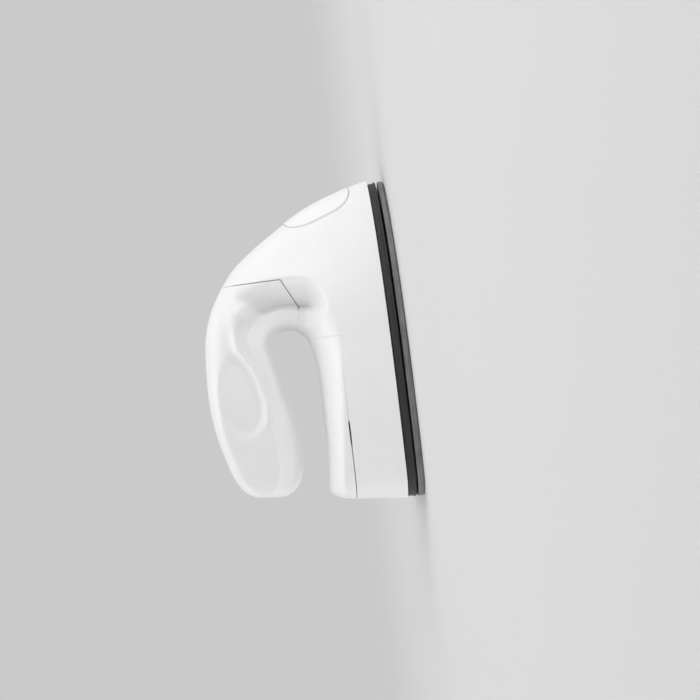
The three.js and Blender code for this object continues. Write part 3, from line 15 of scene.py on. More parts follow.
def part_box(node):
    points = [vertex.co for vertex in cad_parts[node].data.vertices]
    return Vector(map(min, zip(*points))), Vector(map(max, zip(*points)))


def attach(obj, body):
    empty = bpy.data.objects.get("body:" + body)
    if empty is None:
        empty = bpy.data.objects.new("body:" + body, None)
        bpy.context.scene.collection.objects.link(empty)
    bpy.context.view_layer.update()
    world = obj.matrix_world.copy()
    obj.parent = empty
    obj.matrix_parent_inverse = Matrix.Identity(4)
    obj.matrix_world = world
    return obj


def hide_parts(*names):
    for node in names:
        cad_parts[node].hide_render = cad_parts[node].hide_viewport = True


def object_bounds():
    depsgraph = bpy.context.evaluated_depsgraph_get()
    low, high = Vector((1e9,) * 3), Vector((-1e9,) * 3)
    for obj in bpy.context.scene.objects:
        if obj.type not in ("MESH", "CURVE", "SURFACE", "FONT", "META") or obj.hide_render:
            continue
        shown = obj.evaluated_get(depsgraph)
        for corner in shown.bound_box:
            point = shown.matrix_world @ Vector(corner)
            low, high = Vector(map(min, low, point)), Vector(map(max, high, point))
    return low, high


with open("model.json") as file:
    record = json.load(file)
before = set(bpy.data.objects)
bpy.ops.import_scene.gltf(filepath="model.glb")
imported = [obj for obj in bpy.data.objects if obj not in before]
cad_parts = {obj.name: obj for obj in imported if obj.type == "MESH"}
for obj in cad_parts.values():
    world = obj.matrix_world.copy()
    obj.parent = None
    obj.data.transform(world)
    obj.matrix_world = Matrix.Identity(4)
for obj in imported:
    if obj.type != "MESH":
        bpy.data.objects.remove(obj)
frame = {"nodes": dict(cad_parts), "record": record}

bl_info = {
    "name": "Mini craft iron",
    "version": (1, 0, 0),
    "blender": (4, 5, 0),
    "location": "3D View > Sidebar > Craft Iron",
    "description": "Builds the visible mouldings, metalwork and stage of a mini craft iron",
    "category": "Add Mesh",
}

CAD_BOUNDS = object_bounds()
MM = 0.001
BODY = "iron"
WHITE = "white_plastic"
FAR = 300 * MM
FIT_GAP = 0.3 * MM
OVERRUN = 1 * MM
MERGE_DISTANCE = 0.001 * MM
SHARP_ANGLE = math.radians(32)

# Sides of what is turned
HOLE_SIDES = 24
POST_SIDES = 48
BORE_SIDES = 64
RING_SIDES = 96

# The moulded form is a ribbon of cross-sections that runs from the handle's free end, round the
# finger slot and back along the deck to the heel. Each row is one station:
#   outer point x, z | slot point x, z | rim | handle half-width | neck
# x is a share of half the sole's length and z of the overall height. rim is where the body's
# side begins, as a share of the way from the slot point to the outer point (1 is no rim).
# neck is 1 where the section is scooped beside the handle and 0 where the deck is crowned.
STATION_SHARES = (
    (-0.922, 0.735, -0.922, 0.690, 1, 0.12, 1),
    (-0.917, 0.795, -0.917, 0.655, 1, 0.30, 1),
    (-0.893, 0.845, -0.880, 0.615, 1, 0.50, 1),
    (-0.848, 0.886, -0.825, 0.586, 1, 0.66, 1),
    (-0.767, 0.921, -0.745, 0.567, 1, 0.78, 1),
    (-0.652, 0.950, -0.640, 0.562, 1, 0.88, 1),
    (-0.518, 0.977, -0.517, 0.572, 1, 0.96, 1),
    (-0.387, 0.994, -0.400, 0.589, 1, 1.00, 1),
    (-0.258, 1.000, -0.283, 0.609, 1, 1.00, 1),
    (-0.128, 0.998, -0.167, 0.630, 1, 1.00, 1),
    (-0.002, 0.992, -0.067, 0.647, 1, 1.00, 1),
    (0.125, 0.980, 0.010, 0.659, 1, 0.98, 1),
    (0.250, 0.953, 0.057, 0.654, 1, 0.93, 1),
    (0.372, 0.905, 0.090, 0.636, 0.97, 0.87, 1),
    (0.473, 0.851, 0.110, 0.612, 0.87, 0.83, 1),
    (0.558, 0.793, 0.119, 0.588, 0.755, 0.81, 1),
    (0.668, 0.683, 0.121, 0.567, 0.635, 0.80, 1),
    (0.760, 0.572, 0.117, 0.546, 0.54, 0.80, 1),
    (0.845, 0.462, 0.106, 0.522, 0.475, 0.80, 1),
    (0.910, 0.354, 0.083, 0.496, 0.42, 0.80, 0.91),
    (0.957, 0.248, 0.053, 0.476, 0.365, 0.80, 0.77),
    (1.000, 0.142, 0.010, 0.461, 0.30, 0.80, 0.54),
    (1.020, 0.050, -0.033, 0.452, 0.265, 0.80, 0.30),
    (0.980, -0.050, -0.083, 0.446, 0.24, 0.80, 0.08),
    (0.830, -0.080, -0.135, 0.442, 0.24, 0.80, 0),
    (0.600, -0.080, -0.200, 0.440, 0.24, 0.80, 0),
    (0.300, -0.080, -0.300, 0.438, 0.22, 0.80, 0),
    (0.000, -0.080, -0.417, 0.437, 0.19, 0.80, 0),
    (-0.300, -0.080, -0.550, 0.437, 0.16, 0.80, 0),
    (-0.600, -0.080, -0.700, 0.440, 0.135, 0.80, 0),
    (-0.830, -0.080, -0.820, 0.445, 0.12, 0.80, 0),
    (-1.060, -0.080, -1.010, 0.454, 0.11, 0.80, 0),
)
LAST_ROW = len(STATION_SHARES) - 1
PROW_FIRST_ROW = 11
PROW_LAST_ROW = 22
PROW_STEPS = 12
CAVITY_FIRST_ROW = 2
NOSE_ROWS = (11, 24)
BASE_FIRST_ROW = PROW_LAST_ROW - 1
BASE_RAMP_ROWS = 2
HEEL_ROW = LAST_ROW - 1

# Where the mouldings part in the side view, as shares of half the length and of the height
# with the width of the gap as a share of the seam's own
NECK_SEAM_SHARES = (
    (0.441, 2, 0.35),
    (0.441, 0.830, 0.35),
    (0.441, 0.795, 1),
    (0.441, 0.579, 1),
    (0.257, 0.499, 1),
    (0.225, 0.504, 0.2),
    (0.107, 0.522, 0.2),
    (-2, 0.522, 0.2),
)
DECK_SEAM_SHARES = (
    (-2, 0.333, 1),
    (-0.64, 0.333, 1),
    (-0.61, 0.333, 2.1),
    (-0.49, 0.333, 2.1),
    (-0.47, 0.333, 0.3),
    (-0.2, 0.333, 0.2),
    (0.05, 0.316, 0.2),
    (0.05, 0.522, 0.2),
    (-2, 0.522, 0.2),
)
RECESS_PLACE_SHARES = (-0.262, 0.832)

# The ridge from the neck along the recess: x, z | width and height as shares of the ridge's own
RIDGE_SHARES = (
    (0.250, 0.762, 1.7, 1.5),
    (0.268, 0.788, 2.1, 2.1),
    (0.260, 0.812, 1.9, 2.0),
    (0.210, 0.828, 1.4, 1.5),
    (0.153, 0.831, 1.1, 1.2),
    (0.079, 0.833, 1.0, 1.2),
    (0.028, 0.824, 0.9, 1.2),
    (-0.025, 0.799, 0.8, 1.2),
    (-0.088, 0.766, 0.8, 1.2),
    (-0.172, 0.739, 0.8, 1.2),
    (-0.303, 0.713, 0.8, 1.0),
    (-0.420, 0.716, 0.8, 0.6),
    (-0.500, 0.735, 0.8, 0),
)

# The pocket's edge from the rim round to the lip, with the pocket on its left
POCKET_EDGE_SHARES = (
    (0.60, 0.79),
    (0.40, 0.822),
    (0.32, 0.80),
    (0.255, 0.765),
    (0.225, 0.70),
    (0.21, 0.60),
)

# Where along the ribbon each form begins or ends, in rows, and how soon it is full
POCKET_FIRST_ROW = 8.5
POCKET_RAMP_ROWS = 3.5
PANEL_RAMP_ROWS = 1.2
SCOOP_LAST_ROW = 18.8
SCOOP_FADE_ROWS = 3.0
SHOULDER_FIRST_ROW = 11.5
SHOULDER_RAMP_ROWS = 2.5
THIN_BACK_LAST_ROW = 6.5
THIN_BACK_FADE_ROWS = 3.5

# Powers and proportions of the curves
ROUND_POWER_SHARE = 2.3
ROUND_LIMIT_SHARE = 0.42
THIN_BACK_SHARE = 0.45
BEAD_CREST_SHARE = 0.5
BEAD_FALL_SHARE = 1.5
RAMP_SLOPE_SHARE = 1.15
RAMP_ROUND_SHARE = 0.24
RAMP_HOLLOW_SHARE = 1.5
RECESS_EDGE_SHARE = 3.6
PLAN_ROUND_SHARE = 2.2
SOLE_SHARPNESS_SHARE = 0.7
NOSE_SHARPNESS_SHARE = 0.56
NOSE_INSET_SHARE = 1.6
LEAST_CORNER_SHARE = 1 / 3
PLATE_HEIGHT_SHARE = 0.36
PLATE_POWER_SHARE = 2.8
BUSH_LIP_SHARE = 0.25
TONGUE_TOP_SHARE = 4

# How finely the forms are cut up, and how a section's points are spread over it
FINE = {"steps": 10, "heel_steps": 16, "round": 12, "scoop": 22, "side": 12}
PLAIN = {"steps": 3, "heel_steps": 4, "round": 5, "scoop": 9, "side": 3}
PLAN_STEPS = 60
CORNER_STEPS = 20
FILLET_STEPS = 5
PLAN_SPACING_SHARE = 1.7
RIM_LIMIT_SHARES = (0.1, 0.85)
LIP_END_SHARE = 0.05
LIP_STEP_SHARES = (0.4, 1)


def length(name, description, millimetres):
    """A length property shown with its unit."""
    return FloatProperty(
        name=name,
        description=description,
        default=millimetres * MM,
        min=0,
        subtype="DISTANCE",
        unit="LENGTH",
        precision=5,
    )


def colour(name, description, value):
    """A colour property."""
    return FloatVectorProperty(
        name=name, description=description, default=value, size=3, min=0, max=1, subtype="COLOR",
    )


def amount(name, description, value, high=1):
    """A plain number property."""
    return FloatProperty(name=name, description=description, default=value, min=0, max=high)


class CraftIronForm(PropertyGroup):
    """Sizes of the mouldings and of what fastens them."""

    sole_length: length("Sole length", "Nose to heel along the sole", 120)
    sole_width: length("Sole width", "Widest place of the sole", 61)
    height: length("Height", "Sole's face to the top of the handle", 76.2)
    handle_width: length("Handle width", "Across the grip", 27)
    plan_reach: length("Plan reach", "Distance behind the tip of the widest place", 84)
    heel_proud: length("Heel proud", "Housing beyond the sole at the heel", 0.8)
    heel_corner: length("Heel corner", "Radius of the heel's corners in plan", 11)
    heel_narrowing: length("Heel narrowing", "Drawn in on each side at the heel", 2.2)
    skirt_top: length("Skirt top", "Level of the skirt's upper edge", 6.2)
    skirt_bottom: length("Skirt bottom", "Level of the skirt's lower edge", 3.2)
    skirt_lip: length("Skirt lip", "Step and edge of the skirt's lower band", 0.3)
    skirt_band: length("Skirt band", "Height of the skirt's lower band", 0.8)
    skirt_wall: length("Skirt wall", "Thickness of the skirt", 2.2)
    sole_edge: length("Sole edge", "Thickness of the sole's edge", 2.5)
    sole_fillet: length("Sole fillet", "Rounding of the sole's lower edge", 0.9)
    sole_chamfer: length("Sole chamfer", "Bevel of the sole's upper edge", 0.25)
    plateau_inset: length("Plateau inset", "From the sole's edge to its thicker middle", 6)
    plateau_height: length("Plateau height", "Thickness of the sole's middle", 5)
    plateau_draft: length("Plateau draft", "Lean of the thicker middle's side", 0.4)
    body_proud: length("Body proud", "Housing beyond the sole at the sides", 0.5)
    wall: length("Wall", "Thickness of the mouldings", 2)
    seam_gap: length("Seam gap", "Between one moulding and the next", 0.27)
    top_round: length("Top round", "Rounding of the handle's back", 10)
    grip_round: length("Grip round", "Width of the lip round the finger slot", 8)
    base_round: length("Base round", "Rounding under the form", 5)
    heel_top_round: length("Heel top round", "Rounding of the deck's edge at the heel", 3)
    rim_blend: length("Rim blend", "Width of the rim's rounding", 5)
    bead_drop: length("Bead drop", "Fall of the slot's lip from its crest to the scoop", 0.6)
    lip_edge: length("Lip edge", "Width of the step from the slot's lip into the scoop", 1.7)
    pocket_depth: length("Pocket depth", "Depth of the scoop below the slot's lip", 4.2)
    pocket_edge: length("Pocket edge", "Width of the slope at the pocket's edge", 1.8)
    panel_depth: length("Panel depth", "Depth of the handle's sides below the slot's lip", 0.5)
    ridge_height: length("Ridge height", "Height of the ridge beside the recess", 1.0)
    ridge_width: length("Ridge width", "Half-width of the ridge", 1.5)
    recess_length: length("Recess length", "Length of the thumb recess", 35)
    recess_height: length("Recess height", "Height of the thumb recess", 18.6)
    recess_depth: length("Recess depth", "Depth of the thumb recess", 1.4)
    plate_length: length("Plate length", "Length of the nose plate", 28)
    plate_width: length("Plate width", "Width of the nose plate", 19)
    plate_proud: length("Plate proud", "Nose plate above the nose", 0.35)
    plate_gap: length("Plate gap", "Between the nose plate and its seat", 0.2)
    plate_seat: length("Plate seat", "Depth of the nose plate's seat", 1.2)
    small_screw: length("Small screw", "Diameter of the small screws", 2.2)
    small_head: length("Small head", "Height of the small screws' heads", 1.4)
    large_screw: length("Large screw", "Diameter of the sole's screws", 3)
    large_head: length("Large head", "Height of the sole screws' heads", 2)
    small_pitch: length("Small pitch", "Pitch of the small screws", 0.8)
    large_pitch: length("Large pitch", "Pitch of the sole's screws", 1.0)
    post_radius: length("Post radius", "Radius of the posts in the handle", 3.6)
    tongue_length: length("Tongue length", "Length of the handle's tongue in the neck", 10)
    tongue_width: length("Tongue width", "Width of each half's tongue", 6.6)
    boss_wall: length("Boss wall", "Wall of the nose's screw boss", 1.6)
    heel_boss_radius: length("Heel boss radius", "Radius of the boss in the heel", 4.2)
    lug_radius: length("Lug radius", "Radius of the screw lugs", 5.5)
    deck_leg: length("Deck leg", "Thickness of the deck cover's leg", 4)
    deck_leg_width: length("Deck leg width", "Width of the deck cover's leg", 12)
    deck_leg_margin: length("Deck leg margin", "Leg below its screw", 3)
    inlet_bore: length("Inlet bore", "Bore of the cord bush", 6.8)
    bush_flange: length("Bush flange", "Flange beyond the bush's neck", 1.6)
    bush_flange_thickness: length("Bush flange thickness", "Thickness of the bush's flanges", 1.6)
    pad_margin: length("Pad margin", "Pad beyond the bush's flange", 1.2)
    heel_tilt: FloatProperty(
        name="Heel tilt", description="Lean of the heel", default=math.radians(5.8), subtype="ANGLE",
    )
    side_draft: FloatProperty(
        name="Side draft", description="Lean of the sides", default=math.radians(4), subtype="ANGLE",
    )
    recess_tilt: FloatProperty(
        name="Recess tilt", description="Tilt of the recess", default=math.radians(3), subtype="ANGLE",
    )


class CraftIronFinish(PropertyGroup):
    """Colours and surface qualities of the iron's materials."""

    plastic: colour("Plastic", "Colour of the white mouldings", (0.83, 0.83, 0.825))
    skirt: colour("Skirt", "Colour of the heat-resistant skirt", (0.014, 0.013, 0.013))
    coating: colour("Coating", "Colour of the sole's coating", (0.145, 0.14, 0.135))
    plastic_roughness: amount("Plastic roughness", "Roughness of the white mouldings", 0.33)
    grain: length("Grain", "Size of the plastic's moulded grain", 0.35)


class CraftIronStage(PropertyGroup):
    """Camera, lamps and floor."""

    camera_distance: length("Camera distance", "From the iron's middle plane", 700)
    frame_width: length("Frame width", "Width of the picture at the middle plane", 268.45)
    camera_roll: FloatProperty(
        name="Lean in the picture", description="Lean of the sole from upright in the picture",
        default=math.radians(6.85), subtype="ANGLE",
    )
    camera_lift: FloatProperty(
        name="Camera lift", description="Elevation of the camera", default=math.radians(3), subtype="ANGLE",
    )
    floor: colour("Floor", "Colour of the floor", (0.88, 0.88, 0.88))
    floor_seen: colour("Floor seen", "Colour of the floor in the picture", (0.64, 0.64, 0.64))
    backdrop: colour("Backdrop", "Level at which the backdrop shows", (0.59, 0.59, 0.60))
    top_lamp: amount("Top lamp", "Watts of the softbox overhead", 0.75, 100)
    nose_lamp: amount("Nose lamp", "Watts of the softbox before the nose", 1.5, 100)
    tip_lamp: amount("Tip lamp", "Watts of the softbox that lights the tip", 0.7, 100)
    heel_lamp: amount("Heel lamp", "Watts of the softbox behind the heel", 1.1, 100)
    side_lamp: amount("Side lamp", "Watts of the softbox beside the camera", 0.1, 100)
    surround: amount("Surround", "Strength of the light from the sides and above", 1.05, 10)
    surround_front: amount("Surround in front", "Strength of the light from the camera's side", 0.05, 10)


def new_mesh(name, points, faces):
    """A mesh from points and faces."""
    mesh = bpy.data.meshes.new(name)
    mesh.from_pydata([tuple(point) for point in points], [], faces)
    return mesh


def outward(mesh):
    """The mesh with its doubles merged and its faces pointing outwards."""
    shape = bmesh.new()
    shape.from_mesh(mesh)
    bmesh.ops.remove_doubles(shape, verts=shape.verts, dist=MERGE_DISTANCE)
    bmesh.ops.recalc_face_normals(shape, faces=shape.faces)
    shape.to_mesh(mesh)
    shape.free()
    return mesh


def new_object(name, mesh):
    """An object at the origin, linked to the scene."""
    made = bpy.data.objects.new(name, mesh)
    bpy.context.scene.collection.objects.link(made)
    return made


def evaluated_mesh(made):
    """A plain mesh of an object with its modifiers applied."""
    graph = bpy.context.evaluated_depsgraph_get()
    return bpy.data.meshes.new_from_object(made.evaluated_get(graph))


def carved(mesh, steps):
    """The mesh after joins and cuts, given as (operation, mesh)."""
    made = new_object("carving", mesh)
    tools = []
    for operation, tool_mesh in steps:
        tool = new_object("tool", tool_mesh)
        modifier = made.modifiers.new(operation, "BOOLEAN")
        modifier.operation = operation
        modifier.solver = "MANIFOLD"
        modifier.object = tool
        tools.append(tool)
    result = evaluated_mesh(made)
    for spare in (made, *tools):
        bpy.data.objects.remove(spare)
    return result


def cuts(*meshes):
    """Steps that cut meshes away."""
    return [("DIFFERENCE", mesh) for mesh in meshes]


def joins(*meshes):
    """Steps that join meshes on."""
    return [("UNION", mesh) for mesh in meshes]


def overlaps(*meshes):
    """Steps that keep only what lies in each mesh."""
    return [("INTERSECT", mesh) for mesh in meshes]


def tube_faces(rows, count, joined=False):
    """Faces between rows of points that each form a ring, with the last row joined to the first or not."""
    faces = []
    for row in range(rows if joined else rows - 1):
        here = row * count
        there = (row + 1) % rows * count
        for i in range(count):
            after = (i + 1) % count
            faces.append((here + i, here + after, there + after, there + i))
    return faces


def prism(outline, low, high, lift):
    """A closed prism over a flat outline. lift places an outline point at a depth."""
    count = len(outline)
    points = [lift(point, depth) for depth in (low, high) for point in outline]
    ends = [tuple(range(count)), tuple(range(2 * count - 1, count - 1, -1))]
    return outward(new_mesh("prism", points, ends + tube_faces(2, count)))


def side_prism(outline, low=-FAR, high=FAR):
    """A prism on an outline of (x, z) points, across the iron."""
    return prism(outline, low, high, lambda point, depth: Vector((point[0], depth, point[1])))


def block(low, high):
    """A box between two corners."""
    outline = [(low[0], low[2]), (high[0], low[2]), (high[0], high[2]), (low[0], high[2])]
    return side_prism(outline, low[1], high[1])


def turned(profile, place, direction, sides, hollow=False):
    """A shape turned from (radius, distance) points: a solid, or a ring whose profile meets its start."""
    turn = Vector((0, 0, 1)).rotation_difference(Vector(direction))
    points = []
    for radius, distance in profile:
        for i in range(sides):
            angle = math.tau * i / sides
            spoke = Vector((radius * math.cos(angle), radius * math.sin(angle), distance))
            points.append(Vector(place) + turn @ spoke)
    faces = tube_faces(len(profile), sides, hollow)
    if not hollow:
        faces.append(tuple(range(sides)))
        faces.append(tuple(range(len(points) - 1, len(points) - sides - 1, -1)))
    return outward(new_mesh("turned", points, faces))


def bar(start, end, radius, sides=POST_SIDES):
    """A round bar from one point to another."""
    run = Vector(end) - Vector(start)
    return turned([(radius, 0), (radius, run.length)], start, run.normalized(), sides)


def shifted(path, distances):
    """An open path of (x, z) points moved to its left, each point by its own distance."""
    directions = []
    for (x, z), (next_x, next_z) in zip(path, path[1:]):
        run = math.hypot(next_x - x, next_z - z)
        directions.append(((next_x - x) / run, (next_z - z) / run))
    moved = []
    for i, ((x, z), distance) in enumerate(zip(path, distances)):
        before = directions[max(i - 1, 0)]
        after = directions[min(i, len(directions) - 1)]
        normal = (-(before[1] + after[1]), before[0] + after[0])
        reach = 2 * distance / (normal[0] ** 2 + normal[1] ** 2)
        moved.append((x + normal[0] * reach, z + normal[1] * reach))
    return moved


def held(value, low, high):
    """The value kept between two limits."""
    return min(max(value, low), high)


def nearest_on_line(point, start, end):
    """The share along a straight piece that is nearest to a point of the side view, and its distance."""
    run_x, run_z = end[0] - start[0], end[1] - start[1]
    x, z = point[0] - start[0], point[1] - start[1]
    share = held((x * run_x + z * run_z) / (run_x ** 2 + run_z ** 2), 0, 1)
    return share, math.hypot(x - share * run_x, z - share * run_z)


def smooth(share):
    """A smooth step from 0 to 1."""
    part = held(share, 0, 1)
    return part * part * (3 - 2 * part)


def ramp(share):
    """A hollow rise from 0 that rounds over to 1."""
    rise = (max(share, 0) * RAMP_SLOPE_SHARE) ** RAMP_HOLLOW_SHARE
    nearness = held(0.5 + (1 - rise) / RAMP_ROUND_SHARE / 2, 0, 1)
    return 1 + (rise - 1) * nearness - RAMP_ROUND_SHARE * nearness * (1 - nearness)


def rounded(share, power=2):
    """Height of a quarter circle over its radius, or of a fuller quarter, and 1 beyond it."""
    return (1 - (1 - held(share, 0, 1)) ** power) ** (1 / power)


class Section:
    """One cross-section of the moulded form."""

    def __init__(self, form, place):
        values = form.station(place)
        self.outer = Vector((values[0], values[1]))
        self.slot = Vector((values[2], values[3]))
        self.base = smooth((place - BASE_FIRST_ROW) / BASE_RAMP_ROWS)
        heel_round = form.sizes.heel_top_round
        ahead_of_heel = self.slot.x - form.heel_at(self.slot.y)
        self.slot.y -= self.base * heel_round * (1 - rounded(ahead_of_heel / heel_round))
        run = self.outer - self.slot
        self.length = run.length
        self.along = run / self.length
        self.across = Vector((-self.along.y, self.along.x))
        self.rim = min(values[4], 1) * self.length
        self.shoulder = smooth((place - SHOULDER_FIRST_ROW) / SHOULDER_RAMP_ROWS)
        self.handle = values[5] * form.half_handle
        self.neck = held(values[6], 0, 1)
        grip = min(form.sizes.grip_round, ROUND_LIMIT_SHARE * self.length)
        self.slot_round = self.rim + (grip - self.rim) * self.neck
        top = form.sizes.top_round + (form.sizes.base_round - form.sizes.top_round) * self.base
        fullness = smooth((place - THIN_BACK_LAST_ROW) / THIN_BACK_FADE_ROWS)
        top *= THIN_BACK_SHARE + (1 - THIN_BACK_SHARE) * fullness
        self.outer_round = min(top, ROUND_LIMIT_SHARE * self.length)
        self.panel = form.sizes.panel_depth * smooth(place / PANEL_RAMP_ROWS)
        deeper = form.sizes.pocket_depth - form.sizes.panel_depth
        self.pocket = deeper * smooth((place - POCKET_FIRST_ROW) / POCKET_RAMP_ROWS)
        self.scooped = 1 - smooth((place - SCOOP_LAST_ROW) / SCOOP_FADE_ROWS)


class MouldedForm:
    """The iron's outside as one solid, before the seams part it."""

    def __init__(self, sizes):
        self.sizes = sizes
        self.half_length = sizes.sole_length / 2
        self.half_width = sizes.sole_width / 2
        self.half_handle = sizes.handle_width / 2
        self.widest = -CAD_BOUNDS[0][1]
        self.heel_slope = math.tan(sizes.heel_tilt)
        self.draft_slope = math.tan(sizes.side_draft)
        self.body_bottom = sizes.skirt_top + FIT_GAP
        places = self.placed([row[:2] for row in RIDGE_SHARES])
        self.ridge_line = [(*place, *row[2:]) for place, row in zip(places, RIDGE_SHARES)]
        self.pocket_edge_line = self.placed(POCKET_EDGE_SHARES)
        self.recess_centre = self.placed([RECESS_PLACE_SHARES])[0]
        rows = range((PROW_LAST_ROW - PROW_FIRST_ROW) * PROW_STEPS + 1)
        self.prow = [self.station(PROW_FIRST_ROW + row / PROW_STEPS)[:2] for row in rows]

    def placed(self, shares):
        """Points of the side view from shares."""
        return [(x * self.half_length, z * self.sizes.height) for x, z in shares]

    def station(self, place):
        """The values of a station between the rows, in metres where they are lengths."""
        first = held(math.floor(place), 0, LAST_ROW - 1)
        share = place - first
        rows = [STATION_SHARES[held(first + i, 0, LAST_ROW)] for i in (-1, 0, 1, 2)]
        values = []
        for before, here, following, after in zip(*rows):
            rise = following - here
            slope_here = (following - before) / 2
            slope_next = (after - here) / 2
            square = 3 * rise - 2 * slope_here - slope_next
            cube = slope_here + slope_next - 2 * rise
            values.append(here + share * (slope_here + share * (square + share * cube)))
        scales = (self.half_length, self.sizes.height, self.half_length, self.sizes.height, 1, 1, 1)
        return [value * scale for value, scale in zip(values, scales)]

    def prow_at(self, z):
        """x of the nose's front edge at a height."""
        low, high = 0, len(self.prow) - 1
        if z >= self.prow[low][1]:
            return self.prow[low][0]
        if z <= self.prow[high][1]:
            return self.prow[high][0]
        while high - low > 1:
            middle = (low + high) // 2
            if self.prow[middle][1] > z:
                low = middle
            else:
                high = middle
        above, below = self.prow[low], self.prow[high]
        return above[0] + (below[0] - above[0]) * (above[1] - z) / (above[1] - below[1])

    def heel_at(self, z):
        """x of the heel at a height."""
        return z * self.heel_slope - self.half_length - self.sizes.heel_proud

    def plan_half(self, behind_tip, half, sharpness):
        """Half-width of a pointed plan at a distance behind its tip."""
        share = held(behind_tip / self.sizes.plan_reach, 0, 1)
        tail = self.sizes.sole_length - self.sizes.plan_reach
        behind_widest = max(behind_tip - self.sizes.plan_reach, 0) / tail
        pointed = (1 - (1 - share) ** PLAN_ROUND_SHARE) ** sharpness
        return half * pointed - self.sizes.heel_narrowing * behind_widest ** 2

    def with_heel_corner(self, half, ahead_of_heel, radius):
        """The half-width with a round corner at the heel."""
        return half - radius * (1 - rounded(ahead_of_heel / radius))

    def body_half(self, x, z):
        """Half-width of the body's outside at a point of the side view."""
        height = held(z / self.sizes.height, 0, 1)
        drawn_in = self.draft_slope * max(z - self.body_bottom, 0)
        half = min(self.half_width + self.sizes.body_proud, self.widest) - drawn_in
        sharpness = SOLE_SHARPNESS_SHARE + (NOSE_SHARPNESS_SHARE - SOLE_SHARPNESS_SHARE) * height
        plan = self.plan_half(self.prow_at(z) - x, half, sharpness)
        return self.with_heel_corner(plan, x - self.heel_at(z), self.sizes.heel_corner)

    def half_thickness(self, section, x, z, from_slot):
        """Half the form's thickness at one place of a section."""
        from_outer = section.length - from_slot
        base_edge = 1 - section.base * (1 - rounded(from_outer / section.outer_round))
        body = self.body_half(x, z) * base_edge
        crowned = body * rounded(from_slot / section.rim)
        outer_edge = rounded(from_outer / section.outer_round, ROUND_POWER_SHARE)
        past_lip = from_slot - section.slot_round
        across_lip = held(from_slot / section.slot_round, 0, 1)
        lip = section.handle * rounded(across_lip / BEAD_CREST_SHARE, ROUND_POWER_SHARE) * outer_edge
        past_crest = max(across_lip - BEAD_CREST_SHARE, 0) / (1 - BEAD_CREST_SHARE)
        lip -= self.sizes.bead_drop * past_crest ** BEAD_FALL_SHARE * outer_edge
        floor = section.panel + section.pocket * self.inside_pocket(x, z)
        ridge = self.ridge(x, z)
        filled = min(ridge, 1)
        crest = ridge * self.sizes.ridge_height
        sunk = floor * smooth(past_lip / self.sizes.lip_edge) * smooth(from_outer / self.sizes.lip_edge)
        scooped = lip - sunk * (1 - filled) + (crest - self.recess(x, z) * (1 - filled)) * outer_edge
        reach = max(section.rim - section.slot_round, self.sizes.rim_blend)
        scooped += (body - scooped) * ramp(past_lip / reach) * section.shoulder
        return crowned + (scooped - crowned) * section.scooped

    def inside_pocket(self, x, z):
        """How far a point of the side view lies inside the scoop's pocket, from 0 to 1."""
        found = []
        for start, end in zip(self.pocket_edge_line, self.pocket_edge_line[1:]):
            side = (end[0] - start[0]) * (z - start[1]) - (end[1] - start[1]) * (x - start[0])
            found.append((nearest_on_line((x, z), start, end)[1], side))
        distance, side = min(found, key=lambda pair: pair[0])
        return smooth(math.copysign(distance, side) / self.sizes.pocket_edge)

    def ridge(self, x, z):
        """Height of the ridge along the recess at a point, as a share of its own height."""
        highest = 0
        for start, end in zip(self.ridge_line, self.ridge_line[1:]):
            share, distance = nearest_on_line((x, z), start, end)
            width = self.sizes.ridge_width * (start[2] + (end[2] - start[2]) * share)
            crest = start[3] + (end[3] - start[3]) * share
            highest = max(highest, crest * math.exp(-(distance / width) ** 2))
        return highest

    def recess(self, x, z):
        """Depth of the thumb recess at a point of the side view."""
        x, z = x - self.recess_centre[0], z - self.recess_centre[1]
        turn = self.sizes.recess_tilt
        along = x * math.cos(turn) + z * math.sin(turn)
        across = z * math.cos(turn) - x * math.sin(turn)
        radius = math.hypot(along / (self.sizes.recess_length / 2), across / (self.sizes.recess_height / 2))
        return self.sizes.recess_depth * smooth((1 - radius) * RECESS_EDGE_SHARE)

    def section_places(self, section, fineness):
        """Distances from the slot edge at which a section has its points."""
        side_start = section.length - section.outer_round
        span = side_start - section.slot_round
        reach = section.rim + self.sizes.rim_blend - section.slot_round
        rim_end = section.slot_round + held(reach, *(share * span for share in RIM_LIMIT_SHARES))
        lip_step = min(self.sizes.lip_edge, LIP_END_SHARE * span)
        lip_end = section.slot_round + lip_step
        count = fineness["round"]
        rounds = [1 - math.cos(math.pi / 2 * (i + 1) / count) for i in range(count)]
        places = [section.slot_round * share for share in rounds]
        places.extend(section.slot_round + lip_step * share for share in LIP_STEP_SHARES)
        for i in range(1, fineness["scoop"] + 1):
            places.append(lip_end + (rim_end - lip_end) * i / fineness["scoop"])
        for i in range(1, fineness["side"] + 1):
            places.append(rim_end + (side_start - rim_end) * i / fineness["side"])
        places.extend(section.length - section.outer_round * share for share in reversed(rounds[:-1]))
        return places

    def ring(self, place, inset, fineness):
        """One cross-section of the form, drawn in by an inset or let out by a negative one."""
        section = Section(self, place)
        side = []
        for from_slot in self.section_places(section, fineness):
            moved = inset + from_slot * (section.length - 2 * inset) / section.length
            y = self.thinnest(section, moved, inset)
            drawn = inset * (1 - math.exp(-y / max(inset, FIT_GAP)))
            flat = section.slot + section.along * moved
            side.append((flat.x, y - drawn, flat.y))
        start = section.slot + section.along * inset
        end = section.outer - section.along * inset
        mirrored = [(x, -y, z) for x, y, z in reversed(side)]
        ring = [(start.x, 0, start.y), *side, (end.x, 0, end.y), *mirrored]
        return [[held(*limits) for limits in zip(point, *CAD_BOUNDS)] for point in ring]

